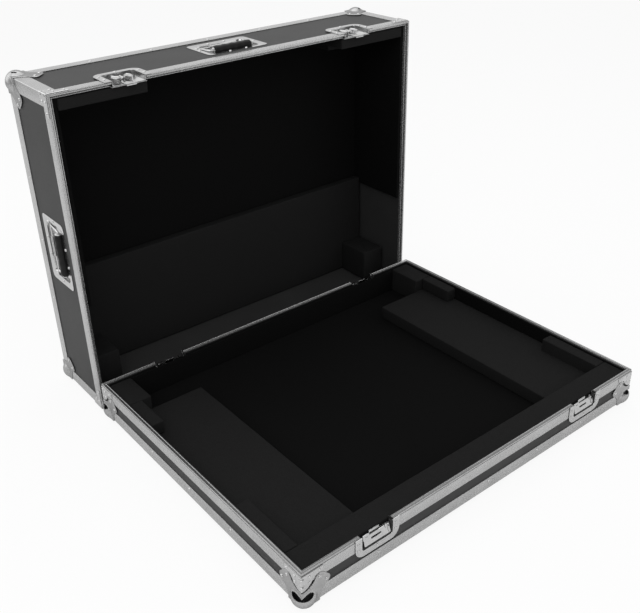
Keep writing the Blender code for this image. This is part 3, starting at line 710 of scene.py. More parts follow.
def make_finishes(colours):
    """In each finish, noises mottle the colour, spread the roughness and raise the surface."""
    metal = Finish("aluminium", "anodised_aluminium", colours.aluminium, 0.27, 0.82)
    metal.mottle(metal.noise(14.0, 2.0), 0.93, 1.06)
    metal.roughen(metal.noise(260.0, 4.0, 0.6), 0.25, 0.29)
    # Painted shade on the upward faces at the base's parting plane
    metal.paint_mating_face_shade()
    metal.bump(metal.noise(1400.0, 2.0), 0.012, 0.0003)

    steel = Finish("plated_steel", "zinc_plated_steel", colours.steel, 0.17, 1.0)
    steel.mottle(steel.noise(60.0), 0.93, 1.05)
    steel.roughen(steel.noise(420.0), 0.13, 0.21)
    steel.bump(steel.noise(900.0, 2.0), 0.03, 0.0002)

    # Painted shade: the ball corners take a darker copy of the steel with a greyer edge tint; their higher
    # roughness is a satin finish
    shade = [c * CORNER_PAINTED_SHADE for c in colours.steel]
    corner = Finish("corner_steel", "satin_corner_steel_painted_shade", shade, 0.34, 1.0)
    corner.mottle(corner.noise(60.0), 0.94, 1.05)
    corner.feed((CORNER_TINT, CORNER_TINT, CORNER_TINT, 1.0), corner.sockets["Specular Tint"])

    # Painted highlight: the rivets take a lighter copy of the steel; their low roughness is their polish
    shade = [c * RIVET_PAINTED_LIGHT for c in colours.steel]
    rivet = Finish("rivet_steel", "polished_rivets_painted_light", shade, 0.15, 1.0)
    rivet.mottle(rivet.noise(500.0, 2.0), 0.92, 1.05)

    board = Finish("laminate", "textured_laminate", colours.laminate, 0.52, specular=0.35)
    board.mottle(board.noise(9.0), 0.90, 1.10)
    board.roughen(board.noise(900.0, 2.0), 0.46, 0.60)
    board.bump(board.noise(1500.0, 3.0, 0.6), 0.16, 0.0004)

    foam = Finish("foam", "cut_foam", colours.foam, 0.93, specular=0.10)
    foam.mottle(foam.noise(420.0, 4.0, 0.7), 0.72, 1.30)
    foam.bump(foam.noise(850.0, 3.0, 0.7), 0.35, 0.0008)
    foam.bump(foam.noise(25.0, 2.0), 0.12, 0.004)

    felt = Finish("felt", "lining_foam", colours.felt, 0.95, specular=0.06)
    felt.mottle(felt.noise(600.0, 4.0, 0.7), 0.75, 1.25)
    felt.bump(felt.noise(1100.0, 3.0, 0.7), 0.25, 0.0006)

    grip = Finish("rubber", "moulded_grip", colours.rubber, 0.5, specular=0.28)
    grip.mottle(grip.noise(90.0), 0.85, 1.2)
    grip.bump(grip.noise(1300.0, 2.0), 0.12, 0.0003)


# Extrusions

def rim_profile(half):
    """Outline of the channel over the boards' edge, as corners (inset, w, rounding).

    The base's has a tongue, with a shallow channel along its top and a fine slot at its foot.  The lid's has
    the groove for the tongue and a fine line along its outer face.
    """
    soft, hard = SOFT_EDGE, HARD_EDGE
    if half == "base":
        inner, web, tip = RIM_DEPTH - METAL, STEP + RIM_WEB, RIM_WEB + INNER_FLANGE
        corners = [(0, LEG, soft), (METAL, LEG, soft), (METAL, web, soft), (inner, web, soft),
                   (inner, tip, soft), (RIM_DEPTH, tip, soft), (RIM_DEPTH, STEP, STEP_ROUND[1]),
                   (TONGUE[1], STEP, soft), (TONGUE[1], 0, TONGUE_ROUND[1]), (CHANNEL_MOUTH[1], 0, soft),
                   (CHANNEL_FLOOR[1], CHANNEL_DEPTH, soft), (CHANNEL_FLOOR[0], CHANNEL_DEPTH, soft),
                   (CHANNEL_MOUTH[0], 0, soft), (TONGUE[0], 0, TONGUE_ROUND[0]),
                   (TONGUE[0], STEP - FOOT_SLOT_MOUTH, hard), (FOOT_SLOT_INSET, STEP - FOOT_SLOT_FLOOR, hard),
                   (FOOT_SLOT_INSET, STEP, hard), (0, STEP, STEP_ROUND[0])]
    else:
        inner, tip = LID_RIM_DEPTH - METAL, GROOVE_BLOCK + INNER_FLANGE
        corners = [(0, 0, LID_RIM_ROUND), (GROOVE[0], 0, GROOVE_ROUND), (GROOVE[0], GROOVE_DEPTH, soft),
                   (GROOVE[1], GROOVE_DEPTH, soft), (GROOVE[1], LID_LIP_SET_BACK, soft),
                   (LID_RIM_DEPTH, LID_LIP_SET_BACK, soft), (LID_RIM_DEPTH, tip, soft), (inner, tip, soft),
                   (inner, GROOVE_BLOCK, soft), (METAL, GROOVE_BLOCK, soft), (METAL, LEG, soft),
                   (0, LEG, soft), (0, LINE_MOUTH[1], hard), (LINE_INSET, LINE_FLOOR[1], hard),
                   (LINE_INSET, LINE_FLOOR[0], hard), (0, LINE_MOUTH[0], hard)]
    corners = np.array(corners)
    return rounded(corners[:, :2], corners[:, 2])


def add_rim(half):
    """The rim in lengths that end at the latches: one round each side, mitred, and one front and rear.

    Behind each of the lid's latches only its inner lip goes on.
    """
    x, y, up = WIDTH / 2, DEPTH / 2, (0, 0, 1)
    profile = rim_profile(half)
    lip = box_outline((LIP_START, 0), (RIM_DEPTH, GROOVE_BLOCK + INNER_FLANGE), SOFT_EDGE, 3)
    parts = []
    for side in (-1, 1):
        stations = [(side * CUT_FAR, -y, 0), (side * x, -y, 0), (side * x, y, 0), (side * CUT_FAR, y, 0)]
        inward = [(0, 1, 0), (-side, 1, 0), (-side, -1, 0), (0, -1, 0)]
        parts.append(extrusion(profile, stations, inward, up))
        stations = [(-CUT_NEAR, side * y, 0), (CUT_NEAR, side * y, 0)]
        parts.append(extrusion(profile, stations, (0, -side, 0), up))
        for start, end in ((-CUT_FAR, -CUT_NEAR), (CUT_NEAR, CUT_FAR)) if half == "lid" else ():
            parts.append(extrusion(lip, [(start, side * y, 0), (end, side * y, 0)], (0, -side, 0), up))
    add_piece(half + "_rim_extrusion", placed(half, joined(parts)), "aluminium", half, [half + "_rim"], 30)


def add_angles(half, radius):
    """Rounded angles along a half's four edges and up the lid's corners, ended under the ball corners."""
    soft = SOFT_EDGE
    profile = rounded([(0, 0), (LEG, 0), (LEG, METAL), (METAL, METAL), (METAL, LEG), (0, LEG)],
                      [radius, soft, soft, soft, soft, soft], 5)
    x, y, height, down = WIDTH / 2, DEPTH / 2, HEIGHT[half], (0, 0, -1)
    parts = []
    for side in (-1, 1):
        ends = [(-x + ANGLE_END, side * y, height), (x - ANGLE_END, side * y, height)]
        parts.append(extrusion(profile, ends, (0, -side, 0), down))
        ends = [(side * x, -y + ANGLE_END, height), (side * x, y - ANGLE_END, height)]
        parts.append(extrusion(profile, ends, (-side, 0, 0), down))
    for side_x, side_y in CORNERS.values() if half == "lid" else ():
        ends = [(side_x * x, side_y * y, LEG + CLEARANCE), (side_x * x, side_y * y, height - ANGLE_END)]
        parts.append(extrusion(profile, ends, (-side_x, 0, 0), (0, -side_y, 0)))
    node = half + "_edge_frame"
    add_piece(half + "_edge_angles", placed(half, joined(parts)), "aluminium", half, [node], 30)


# Ball corners and braces

def lobe_outline(level):
    """Closed edge of one lobe in face coordinates, and how many of its points lie on each fold.

    It runs up one fold, round a notch, an ear and their mirror image, and back down the other fold.
    """
    flank = [(-PLATE_OUT, 0.0405), (0.006, 0.0408), (0.0150, 0.0432), (0.0225, 0.0480), (0.0285, 0.0535),
             (0.0318, 0.0590), (0.0360, 0.0640), (0.0420, 0.0660), (0.0480, 0.0640), (0.0520, 0.0602)]
    free = through(flank + [(0.0565, 0.0565)] + [(b, a) for a, b in reversed(flank)], 4)
    free = np.maximum(free, level)
    free[0], free[-1] = (level, flank[0][1]), (flank[0][1], level)
    climb = np.linspace(level, flank[0][1], 19)[:-1]
    fold = np.stack([np.full(len(climb), level), climb], -1)
    return np.concatenate([fold, free, fold[:0:-1, ::-1]]), len(climb)


def lobe(radius, level, turned_in=0.0):
    """One lobe as rings round its middle, seen from the ball's centre.

    A point lies on the ball or on the lobe's plane, whichever is further out, with a soft change between
    them.  In the corner's own square it lies on the ball alone.
    """
    outline, fold = lobe_outline(level)
    middle, blend, edge_start = np.array([0.024, 0.024]), 0.0022, 0.95
    share = np.concatenate([[0.0], np.linspace(0.14, 0.86, 15), [0.90, 0.94, 0.965, 0.985, 1.0]])
    flat = middle + share[:, None, None] * (outline[None] - middle)
    ray = np.concatenate([flat, np.full(flat.shape[:2] + (1,), level)], -1) - BALL_CENTRE
    plane = np.linalg.norm(ray, axis=-1)
    reach = soft_max(np.full_like(plane, radius), plane, blend)
    reach = np.where(flat.max(-1) < BALL_CENTRE, radius, reach)
    surface = BALL_CENTRE + ray / plane[..., None] * reach[..., None]
    edge = smooth((share[:, None] - edge_start) / (1 - edge_start))
    surface[:, fold:len(outline) - fold + 1, 2] += turned_in * edge
    return surface, fold


def corner_shell():
    """Three lobes folded over the corner with the hollow ball between them, as one closed sheet."""
    outer, fold = lobe(BALL_RADIUS, -PLATE_OUT, EDGE_TURN)
    inner, _ = lobe(BALL_RADIUS - BALL_WALL, -CLEARANCE)
    rows, columns = outer.shape[:2]
    edge = np.arange(fold, columns - fold + 2) % columns + (rows - 1) * columns
    quads = quads_of(rows, columns, wrap_columns=True)
    layers = [[np.roll(layer, turn, -1).reshape(-1, 3) for layer in (outer, inner)] for turn in range(3)]
    return joined([layered(*pair, quads, edge) for pair in layers])


def heart_cutter():
    """Cutter for the heart-shaped opening in a base ball, an outline drawn along the corner's diagonal."""
    half = [(0.0, 0.0268), (0.0045, 0.0297), (0.0095, 0.0322), (0.0140, 0.0325), (0.0185, 0.0303),
            (0.0208, 0.0268), (0.0185, 0.0236), (0.0130, 0.0214), (0.0065, 0.0206), (0.0, 0.0206)]
    t, w = np.array(half + [(-t, w) for t, w in reversed(half[1:-1])]).T
    root = math.sqrt(0.5)
    rings = [np.stack([(t - out) * root, (-t - out) * root, w], -1) for out in (-0.018, 0.030)]
    return capped(np.array(rings))


def slot_cutter():
    """Cutter for the short slot in a lid ball, a rounded oblong drawn out from the ball's centre."""
    out = np.array([-0.26, -0.90, 0.34])
    out /= np.linalg.norm(out)
    along = np.array([0.79, 0.0, 0.62])
    along -= out * (along @ out)
    along /= np.linalg.norm(along)
    oblong = box_outline((-0.0062, -0.0020), (0.0062, 0.0020), 0.0018, 4)
    face = BALL_CENTRE + oblong[:, :1] * along + oblong[:, 1:] * np.cross(out, along)
    return capped(np.array([face + out * reach for reach in (0.018, 0.032)]))


def add_ball_corners():
    """One corner is made and cut for each half, and its mesh is laid on that half's four corners."""
    for half, cutter in (("base", heart_cutter()), ("lid", slot_cutter())):
        model = add_piece("corner_model", corner_shell(), "corner_steel", half)
        cut_out(model, cutter)
        mesh = model.data
        points = np.empty(len(mesh.vertices) * 3)
        mesh.vertices.foreach_get("co", points)
        bpy.data.objects.remove(model, do_unlink=True)
        for corner in CORNERS:
            node = half + "_ball_corner_" + corner
            twin = mesh.copy()
            laid = place(half, at_corner(corner, points.reshape(-1, 3), HEIGHT[half], -1))
            twin.vertices.foreach_set("co", laid.ravel())
            face_outward(twin)
            dress(shown(node + "_pressing", twin), "corner_steel", half, [node], 40)


def brace_sheet(fold):
    """Plate folded round the upright corner.

    Rows run down the corner and columns run round it: an arc at the fold, then straight along each wall.
    The half width follows the plate's outline (row, half width), its edges turn in, and two grooves cross the
    fold.
    """
    outline = np.array([(0.0053, 0.0505), (0.0155, 0.0505), (0.0166, 0.0500), (0.0172, 0.0480),
                        (0.0176, 0.0380), (0.0198, 0.0305), (0.0250, 0.0266), (0.0295, 0.0238),
                        (0.0330, 0.0209), (0.0362, 0.0177), (0.0385, 0.0145), (0.0400, 0.0120),
                        (0.0413, 0.0086), (0.0420, 0.0049), (0.0423, 0.0010)])
    edge_turn, edge_band = 0.0006, 0.0014
    grooves, groove_depth, groove_slant = (0.0118, 0.0305), 0.0015, 0.10
    groove_half, groove_side, groove_reach, groove_end = 0.0017, 0.0006, 0.0072, 0.0010
    top = outline[0, 0]
    rows = np.unique(np.concatenate([outline[:, 0], np.linspace(top, outline[-1, 0], 86)]))
    width = np.interp(rows, outline[:, 0], outline[:, 1])[:, None]
    rows = rows[:, None]
    share = mirrored(np.concatenate([np.linspace(0, 0.06, 5), np.linspace(0.08, 0.36, 12),
                                     np.linspace(0.42, 0.92, 8), [0.95, 0.97, 0.985, 1.0]]))
    quarter = fold * math.pi / 4
    reach = width + PLATE_OUT - fold + quarter
    unrolled = share * reach
    away = np.abs(unrolled)
    angle = math.pi / 4 + np.clip(away, 0, quarter) / fold
    cosine, sine = np.cos(angle), np.sin(angle)
    centre = fold - PLATE_OUT
    long_way = centre - fold * cosine + np.maximum(away - quarter, 0)
    short_way = centre - fold * sine
    a, b = np.where(unrolled >= 0, (long_way, short_way), (short_way, long_way))
    out_a, out_b = np.where(unrolled >= 0, (-cosine, -sine), (-sine, -cosine))
    emboss = -edge_turn * (1 - smooth(np.minimum(reach - away, rows - top) / edge_band))
    for level in grooves:
        across = np.abs(rows - level + groove_slant * away)
        emboss -= (groove_depth * smooth((groove_half - across) / groove_side)
                   * smooth((groove_reach - away) / groove_end))
    outer = np.stack([a + emboss * out_a, b + emboss * out_b, np.broadcast_to(rows, a.shape)], -1)
    return sheet_of(outer, PLATE - CLEARANCE / 3, (1, 1, 0))


def add_braces(fold):
    """The same folded plate at every corner of both halves."""
    points, quads, caps = brace_sheet(fold)
    for half in ("base", "lid"):
        for corner in CORNERS:
            node = half + "_brace_" + corner
            laid = place(half, at_corner(corner, points, 0, 1))
            add_piece(node + "_plate", (laid, quads, caps), "plated_steel", half, [node])


# Latches

def latch_pressing(half):
    """Flange with two round corners, pressed in to a recess that is open at the parting plane.

    The inset is the flange's level, plus the recess's depth where the distance to the mouth's outline is
    negative, minus a low bead round the mouth.  Behind its strike plate a keeper's recess starts lower.
    """
    reach, mouth = LATCH_REACH[half], MOUTH_REACH[half]
    round_the_corner = reach - LATCH_CORNER * (1 - np.sin(np.linspace(0.9, 1.57, 8)))
    rows = np.unique(np.concatenate([
        np.linspace(CLEARANCE, mouth - 0.0075, 10), np.linspace(mouth - 0.0075, mouth + 0.0030, 25),
        np.linspace(mouth + 0.004, reach, 10), round_the_corner]))
    columns = mirrored(np.concatenate([np.linspace(0, 0.030, 6), np.linspace(0.0315, 0.0420, 25),
                                       np.linspace(0.0445, LATCH_HALF, 6)]))
    along, w = plate_grid(rows[rows <= reach], columns, (LATCH_HALF, reach), LATCH_CORNER, 0.026)
    outside = box_distance(along, w, MOUTH_HALF, mouth, MOUTH_CORNER)
    recess = smooth(-outside / DISH_RUN)
    bead = BEAD_HEIGHT * np.exp(-((outside - BEAD_PLACE) / BEAD_WIDTH) ** 2)
    inset = -PLATE_OUT + (DISH_FLOOR + PLATE_OUT) * recess - bead
    w = w + BACK_DROP[half] * recess * (1 - np.minimum(w / mouth, 1))
    return sheet_of(np.stack([along, inset, w], -1), DISH_SHEET, (0, 1, 0))


def wing_pressing(turn):
    """One wing of the butterfly: a ring sector round the spindle with a rim that stands out."""
    rim_place, rim_width, side_width = WING_REACH - 0.0009, 0.0011, 0.0012
    radius = np.concatenate([[0.0070], np.linspace(0.0085, 0.0190, 7), np.linspace(0.0200, WING_REACH, 8)])
    angle = np.concatenate([np.linspace(-1, -0.86, 5), np.linspace(-0.78, 0.78, 13), np.linspace(0.86, 1, 5)])
    r, t = np.meshgrid(radius, angle * WING_SPREAD, indexing="ij")
    rim = np.exp(-((r - rim_place) / rim_width) ** 2)
    rim = rim + np.exp(-(r * (WING_SPREAD - np.abs(t)) / side_width) ** 2)
    inset = WING_LEVEL - WING_RIM * np.minimum(rim, 1)
    t = t + turn
    outer = np.stack([r * np.cos(t), inset, SPINDLE_W + r * np.sin(t)], -1)
    return sheet_of(outer, WING_SHEET, (0, 1, 0))


def butterfly_parts():
    """Two wings on a hinge barrel, over a boss and the spindle that turns the hook."""
    steps = np.arange(13)
    path = np.stack([0 * steps, 0.0030 + 0 * steps, SPINDLE_W - BARREL / 2 + BARREL * steps / 12], -1)
    barrel = tube(path, np.where(steps % 4 == 3, 0.0021, 0.0026), 14)
    boss = [(0, -0.0002), (0.0030, -0.0002), (0.0036, 0.0002), (0.0040, 0.0014), (0.0078, 0.0016),
            (0.0082, 0.0022), (0.0082, 0.0056), (0.0042, 0.0060), (0.0042, 0.0090), (0, 0.0090)]
    spindle = turned(boss, (0, 0.0012, SPINDLE_W), (0, 1, 0), 28)
    return joined([wing_pressing(0.0), wing_pressing(math.pi), barrel, spindle])


def hook_parts():
    """Sliding plate with a bent tip, rounded along its edges."""
    (near, far), (tip, bend) = HOOK_FACES, HOOK_TIP
    plate = soft_block((-HOOK_HALF, near, tip), (HOOK_HALF, far, HOOK_END), HOOK_EDGE)
    bent = soft_block((-HOOK_HALF, near + 0.0002, tip), (HOOK_HALF, HOOK_CATCH, bend), HOOK_EDGE)
    return joined([plate, bent])


def strike_inset(w):
    """Inset of the strike plate's face, which slopes out from the recess's floor towards the flange."""
    (top, deep), (bottom, shallow) = STRIKE
    return deep + (shallow - deep) * (w - top) / (bottom - top)


def holed_plate(outline, hole, raised, thickness):
    """Plate on the strike's slope with a hole: four rings of points round it, joined as a torus is."""
    rings = []
    for points, lift in ((outline, 0), (hole, 0), (hole, thickness), (outline, thickness)):
        rings.append(np.stack([points[:, 0], strike_inset(points[:, 1]) - raised + lift, points[:, 1]], -1))
    return np.concatenate(rings), quads_of(4, len(outline), wrap_rows=True, wrap_columns=True), []


def strike_parts():
    """Strike plate with its slot, a bracket with a hole, two formed ridges and an upright tab behind them."""
    edges = [(along, w) for along, (w, _) in zip(STRIKE_SPAN, STRIKE)]
    sheet = holed_plate(box_outline(*edges, 0.0035), box_outline(*STRIKE_SLOT, 0.0018), 0, STRIKE_SHEET)
    bracket = holed_plate(box_outline(*BRACKET, 0.0025), box_outline(*BRACKET_HOLE, 0.0019), BRACKET_LIFT,
                          BRACKET_SHEET)
    parts = [sheet, bracket, soft_block(*KEEPER_TAB, 0.0006)]
    radius = RIDGE_RADIUS * np.sin(np.linspace(0.35, math.pi - 0.35, 9)) ** 0.5
    for along, start, end in KEEPER_RIDGES:
        w = np.linspace(start, end, 9)
        parts.append(tube(np.stack([np.full(9, along), strike_inset(w) - RIDGE_SINK, w], -1), radius, 12))
    return joined(parts)


def board_edge_parts():
    """The board's dark cut edge, seen below and beside the strike plate."""
    mouth, back = MOUTH_REACH["base"], BOARD_EDGE_BACK
    half, start, end = MOUTH_HALF - 0.0012, STRIKE_SPAN[1] + 0.0008, MOUTH_HALF - 0.0006
    below = soft_block((-half, -0.0010, mouth - 0.0018), (half, back, mouth), SOFT_EDGE)
    beside = soft_block((start, -0.0004, 0.0060), (end, back, mouth - 0.002), SOFT_EDGE)
    return joined([below, beside])


def add_latches():
    """A keeper in the base and a dish, a butterfly and a hook in the lid, at four places."""
    keeper, edge = joined([latch_pressing("base"), strike_parts()]), board_edge_parts()
    dish, butterfly, hook = latch_pressing("lid"), butterfly_parts(), hook_parts()
    for side in ("front", "rear"):
        for hand, sign in HANDS.items():
            name, middle = side + "_" + hand, sign * LATCH_X
            keeper_node, dish_node = "base_keeper_" + name, "lid_latch_dish_" + name
            turn_node, hook_node = "lid_latch_butterfly_" + name, "lid_latch_hook_" + name
            add_piece(keeper_node + "_pressing", placed("base", keeper, side, middle), "plated_steel", "base",
                      [keeper_node])
            add_piece(keeper_node + "_board_edge", placed("base", edge, side, middle), "laminate", "base")
            add_piece(dish_node + "_pressing", placed("lid", dish, side, middle), "plated_steel", "lid",
                      [dish_node])
            add_piece(turn_node + "_wings", placed("lid", butterfly, side, middle), "plated_steel",
                      "latch_butterfly_" + name, [turn_node])
            add_piece(hook_node + "_plate", placed("lid", hook, side, middle), "plated_steel",
                      "latch_hook_" + name, [hook_node])


# Handles

def handle_pressing():
    """Flange with four round corners that slopes to the mouth of a dish with steep sides."""
    half_along, half_w = HANDLE_HALF
    rows = mirrored(np.concatenate([np.linspace(0, 0.034, 8), np.linspace(0.036, 0.047, 12),
                                    np.linspace(0.049, half_w, 6)]))
    columns = mirrored(np.concatenate([np.linspace(0, 0.060, 12), np.linspace(0.062, 0.074, 13),
                                       np.linspace(0.076, half_along, 6)]))
    along, w = plate_grid(rows, columns, HANDLE_HALF, HANDLE_CORNER, 0.060)
    outside = box_distance(along, w, *HANDLE_MOUTH, HANDLE_MOUTH_CORNER)
    slope = FLANGE_SLOPE * (1 - np.clip(outside / FLANGE_WIDTH, 0, 1))
    depth = HANDLE_FLOOR - FLANGE_LEVEL - FLANGE_SLOPE
    inset = FLANGE_LEVEL + slope + depth * smooth(-outside / HANDLE_RUN)
    return sheet_of(np.stack([along, inset, w + HANDLE_W], -1), DISH_SHEET, (0, 1, 0))


def handle_lugs():
    """Formed ears that hold the bail's pins."""
    near, far = LUG
    back, front = BAIL_LEVEL - LUG_HALF, BAIL_LEVEL + LUG_HALF
    bottom, top = BAIL_TOP - LUG_HALF, BAIL_TOP + LUG_HALF
    return [soft_block((low, back, bottom), (high, front, top), LUG_ROUND)
            for low, high in ((-far, -near), (near, far))]


def bail_path():
    """Pin, leg, long side, leg, pin, with rounded bends."""
    side = [(0.0672, BAIL_TOP), (0.0640, BAIL_TOP), (0.0600, BAIL_TOP - 0.0015), (0.0580, BAIL_TOP - 0.006),
            (0.0580, GRIP_W + 0.018), (0.0578, GRIP_W + 0.010), (0.0566, GRIP_W + 0.0035),
            (0.0535, GRIP_W + 0.0006), (0.0480, GRIP_W)]
    path = through(side + [(-s, w) for s, w in reversed(side)], 4)
    rise = (GRIP_LEVEL - BAIL_LEVEL) / (BAIL_TOP - GRIP_W)
    return np.stack([path[:, 0], BAIL_LEVEL + rise * (BAIL_TOP - path[:, 1]), path[:, 1]], -1)


def bail_parts():
    """Bent wire, the rod between its pins and a ferrule at each end of the grip."""
    rod = [(s, BAIL_LEVEL, BAIL_TOP) for s in np.linspace(-PIN_HALF, PIN_HALF, 9)]
    collar = [(0, -0.0008), (0.0060, -0.0008), (0.0074, 0.0002), (0.0074, 0.0016), (0.0062, 0.0026),
              (0, 0.0026)]
    ferrules = [turned(collar, (side * GRIP_HALF, GRIP_LEVEL, GRIP_W), (side, 0, 0), 20) for side in (-1, 1)]
    return joined([tube(bail_path(), BAIL_ROD, 16), tube(rod, PIN_ROD, 12)] + ferrules)


def spring_part():
    """Return spring, a coil wound on the rod between the bail's pins."""
    turn = np.linspace(0, SPRING_TURNS * 2 * math.pi, SPRING_TURNS * 12 + 1)
    path = np.stack([np.linspace(*SPRING_SPAN, len(turn)), BAIL_LEVEL + SPRING_RADIUS * np.cos(turn),
                     BAIL_TOP + SPRING_RADIUS * np.sin(turn)], -1)
    return tube(path, SPRING_WIRE, 6)


def grip_part():
    """Moulded grip: its radius follows a barrel with rounded ends and shallow finger waves."""
    along = np.linspace(-1, 1, 81)
    end = np.sqrt(np.clip(1 - np.clip((np.abs(along) - 0.93) / 0.07, 0, 1) ** 2, 0, 1))
    radius = GRIP_NECK + (GRIP_RADIUS - GRIP_NECK) * end
    radius = radius + GRIP_WAVE * np.cos(along * 5 * math.pi) * end
    path = np.stack([along * GRIP_HALF, np.full(81, GRIP_LEVEL), np.full(81, GRIP_W)], -1)
    return tube(path, radius, 28)


def add_handles():
    """A dish, a bail with its grip and a spring on three of the lid's walls."""
    dish = joined([handle_pressing()] + handle_lugs())
    bail, grip, spring = bail_parts(), grip_part(), spring_part()
    for side in ("front", "left", "right"):
        body, node, dish_node = "handle_bail_" + side, "lid_handle_bail_" + side, "lid_handle_dish_" + side
        add_piece(dish_node + "_pressing", placed("lid", dish, side), "plated_steel", "lid", [dish_node])
        add_piece(node + "_wire", placed("lid", bail, side), "plated_steel", body, [node])
        add_piece(node + "_grip", placed("lid", grip, side), "rubber", body, [node])
        add_piece("lid_handle_spring_" + side, placed("lid", spring, side), "plated_steel", "lid")


# Foam, in closed-case coordinates

def on_hand(sign, block):
    """A block of the right side, or its mirror image on the left."""
    (x0, y0, w0), (x1, y1, w1) = block
    return block if sign > 0 else ((-x1, y0, w0), (-x0, y1, w1))


def both_sides(low, high):
    """The same block on the right and on the left."""
    return [on_hand(sign, (low, high)) for sign in (1, -1)]


def add_foam(half, name, blocks, finish, replaces, radius, swell=FOAM_SWELL):
    """One piece of soft blocks, padded as foam is."""
    part = joined([soft_block(low, high, radius, swell) for low, high in blocks])
    add_piece(name, placed(half, part), finish, half, replaces, 40)


def add_base_foam(radius):
    """Linings of the floor and of three walls up to the rim's tongue, the front bar, and the side slabs."""
    top, foot, (end_x, end_y) = WALL_LINING_TOP, BASE_FOOT, END_BLOCK
    out_x, out_y = (size / 2 - TONGUE[1] - FELT_EDGE for size in (WIDTH, DEPTH))
    lining = [((-FOAM_X, -FOAM_Y, BASE_LINING[0]), (FOAM_X, FOAM_Y, BASE_LINING[1])),
              ((-end_x + CLEARANCE, FOAM_Y - REAR_FELT, REAR_FELT_TOP), (end_x - CLEARANCE, FOAM_Y, foot))]
    lining += both_sides((FOAM_X, -out_y, top), (out_x, out_y, foot))
    lining += both_sides((CUT_FAR, FOAM_Y, top), (FOAM_X - SEAM, out_y, foot))
    lining.append(((-CUT_NEAR, FOAM_Y, top), (CUT_NEAR, out_y, foot)))
    add_foam("base", "base_floor_lining", lining, "felt", ["base_foam_floor"], 0.0008, 0.0)
    block_back, block_front = WALL_BLOCK_ENDS
    bar = [((-FOAM_X, -FOAM_Y, FOAM_TOP), (FOAM_X, BAR_BACK, foot))]
    bar += both_sides((WALL_BLOCK_X, BAR_BACK + SEAM, FOAM_TOP), (FOAM_X - SEAM, block_back, foot - SEAM))
    add_foam("base", "base_front_bar", bar, "foam", ["base_foam_front"], radius)
    slab = [((SLAB_X, BAR_BACK + SEAM, SLAB_TOP), (FOAM_X, end_y, foot)),
            ((WALL_BLOCK_X, block_front, FOAM_TOP), (FOAM_X, end_y - SEAM, SLAB_TOP - CLEARANCE)),
            ((end_x, end_y, FOAM_TOP), (FOAM_X, FOAM_Y, foot))]
    for hand, sign in HANDS.items():
        blocks = [on_hand(sign, block) for block in slab]
        add_foam("base", "base_side_slab_" + hand, blocks, "foam", ["base_foam_" + hand], radius)


def add_lid_foam(radius):
    """Lining of the panel and of two walls, the lower slab with its low blocks, and the two upper pads."""
    wall_x = FOAM_X - LID_LINING
    lining = [((-FOAM_X, -FOAM_Y, LID_FACE), (FOAM_X, FOAM_Y, LID_FACE + LID_LINING))]
    lining += both_sides((wall_x, -FOAM_Y, LID_WALL_TOP), (FOAM_X, LID_WALL_END, LID_FACE - CLEARANCE))
    add_foam("lid", "lid_panel_lining", lining, "felt", ["lid_foam_lining"], 0.0012, 0.0)
    slab_x, (slab_y, slab_top) = wall_x - 2 * CLEARANCE, LID_SLAB
    slab = [((-slab_x, slab_y, slab_top), (slab_x, FOAM_Y, LID_FACE - CLEARANCE))]
    slab += both_sides(LID_BLOCK, (slab_x, FOAM_Y, slab_top - SEAM))
    add_foam("lid", "lid_lower_slab", slab, "foam", ["lid_foam_slab"], radius)
    pad_x = wall_x - CLEARANCE
    pad = [((LID_PAD_X[0], -FOAM_Y, FOAM_TOP), (pad_x, LID_PAD_BACK[0], LID_PAD)),
           ((LID_PAD_X[1], -FOAM_Y, LID_PAD + SEAM), (pad_x, LID_PAD_BACK[1], LID_FACE - 2 * CLEARANCE))]
    for hand, sign in HANDS.items():
        blocks = [on_hand(sign, block) for block in pad]
        add_foam("lid", "lid_upper_pad_" + hand, blocks, "foam", ["lid_foam_pad_" + hand], radius)


# Rivets

def corner_rivets(half):
    """Places and outward normals of the rivets on the lobes and on the brace's wings, at all four corners."""
    flat, outward = np.array([(a, b, -PLATE_OUT) for a, b in LOBE_RIVETS]), (0.0, 0.0, -1.0)
    groups = [(np.roll(flat, turn, -1), np.roll(outward, turn), HEIGHT[half], -1) for turn in range(3)]
    groups.append((np.array([(a, -PLATE_OUT, c) for a, c in BRACE_RIVETS]), (0.0, -1.0, 0.0), 0, 1))
    groups.append((np.array([(-PLATE_OUT, b, c) for b, c in BRACE_RIVETS]), (-1.0, 0.0, 0.0), 0, 1))
    places, tips = [], []
    for corner in CORNERS:
        for points, out, start, step in groups:
            places.append(place(half, at_corner(corner, points, start, step)))
            tips.append(place(half, at_corner(corner, points + out, start, step)))
    places, tips = np.concatenate(places), np.concatenate(tips)
    return places, tips - places


def wall_rivets(half, side, middle, spots, level):
    """Rivets at (along, w) on a wall, on a face at that inset."""
    spots = np.asarray(spots, float)
    points = np.stack([spots[:, 0], np.full(len(spots), level), spots[:, 1]], -1)
    places = place(half, on_wall(side, middle, points))
    return places, place(half, on_wall(side, middle, points - (0, 1.0, 0))) - places


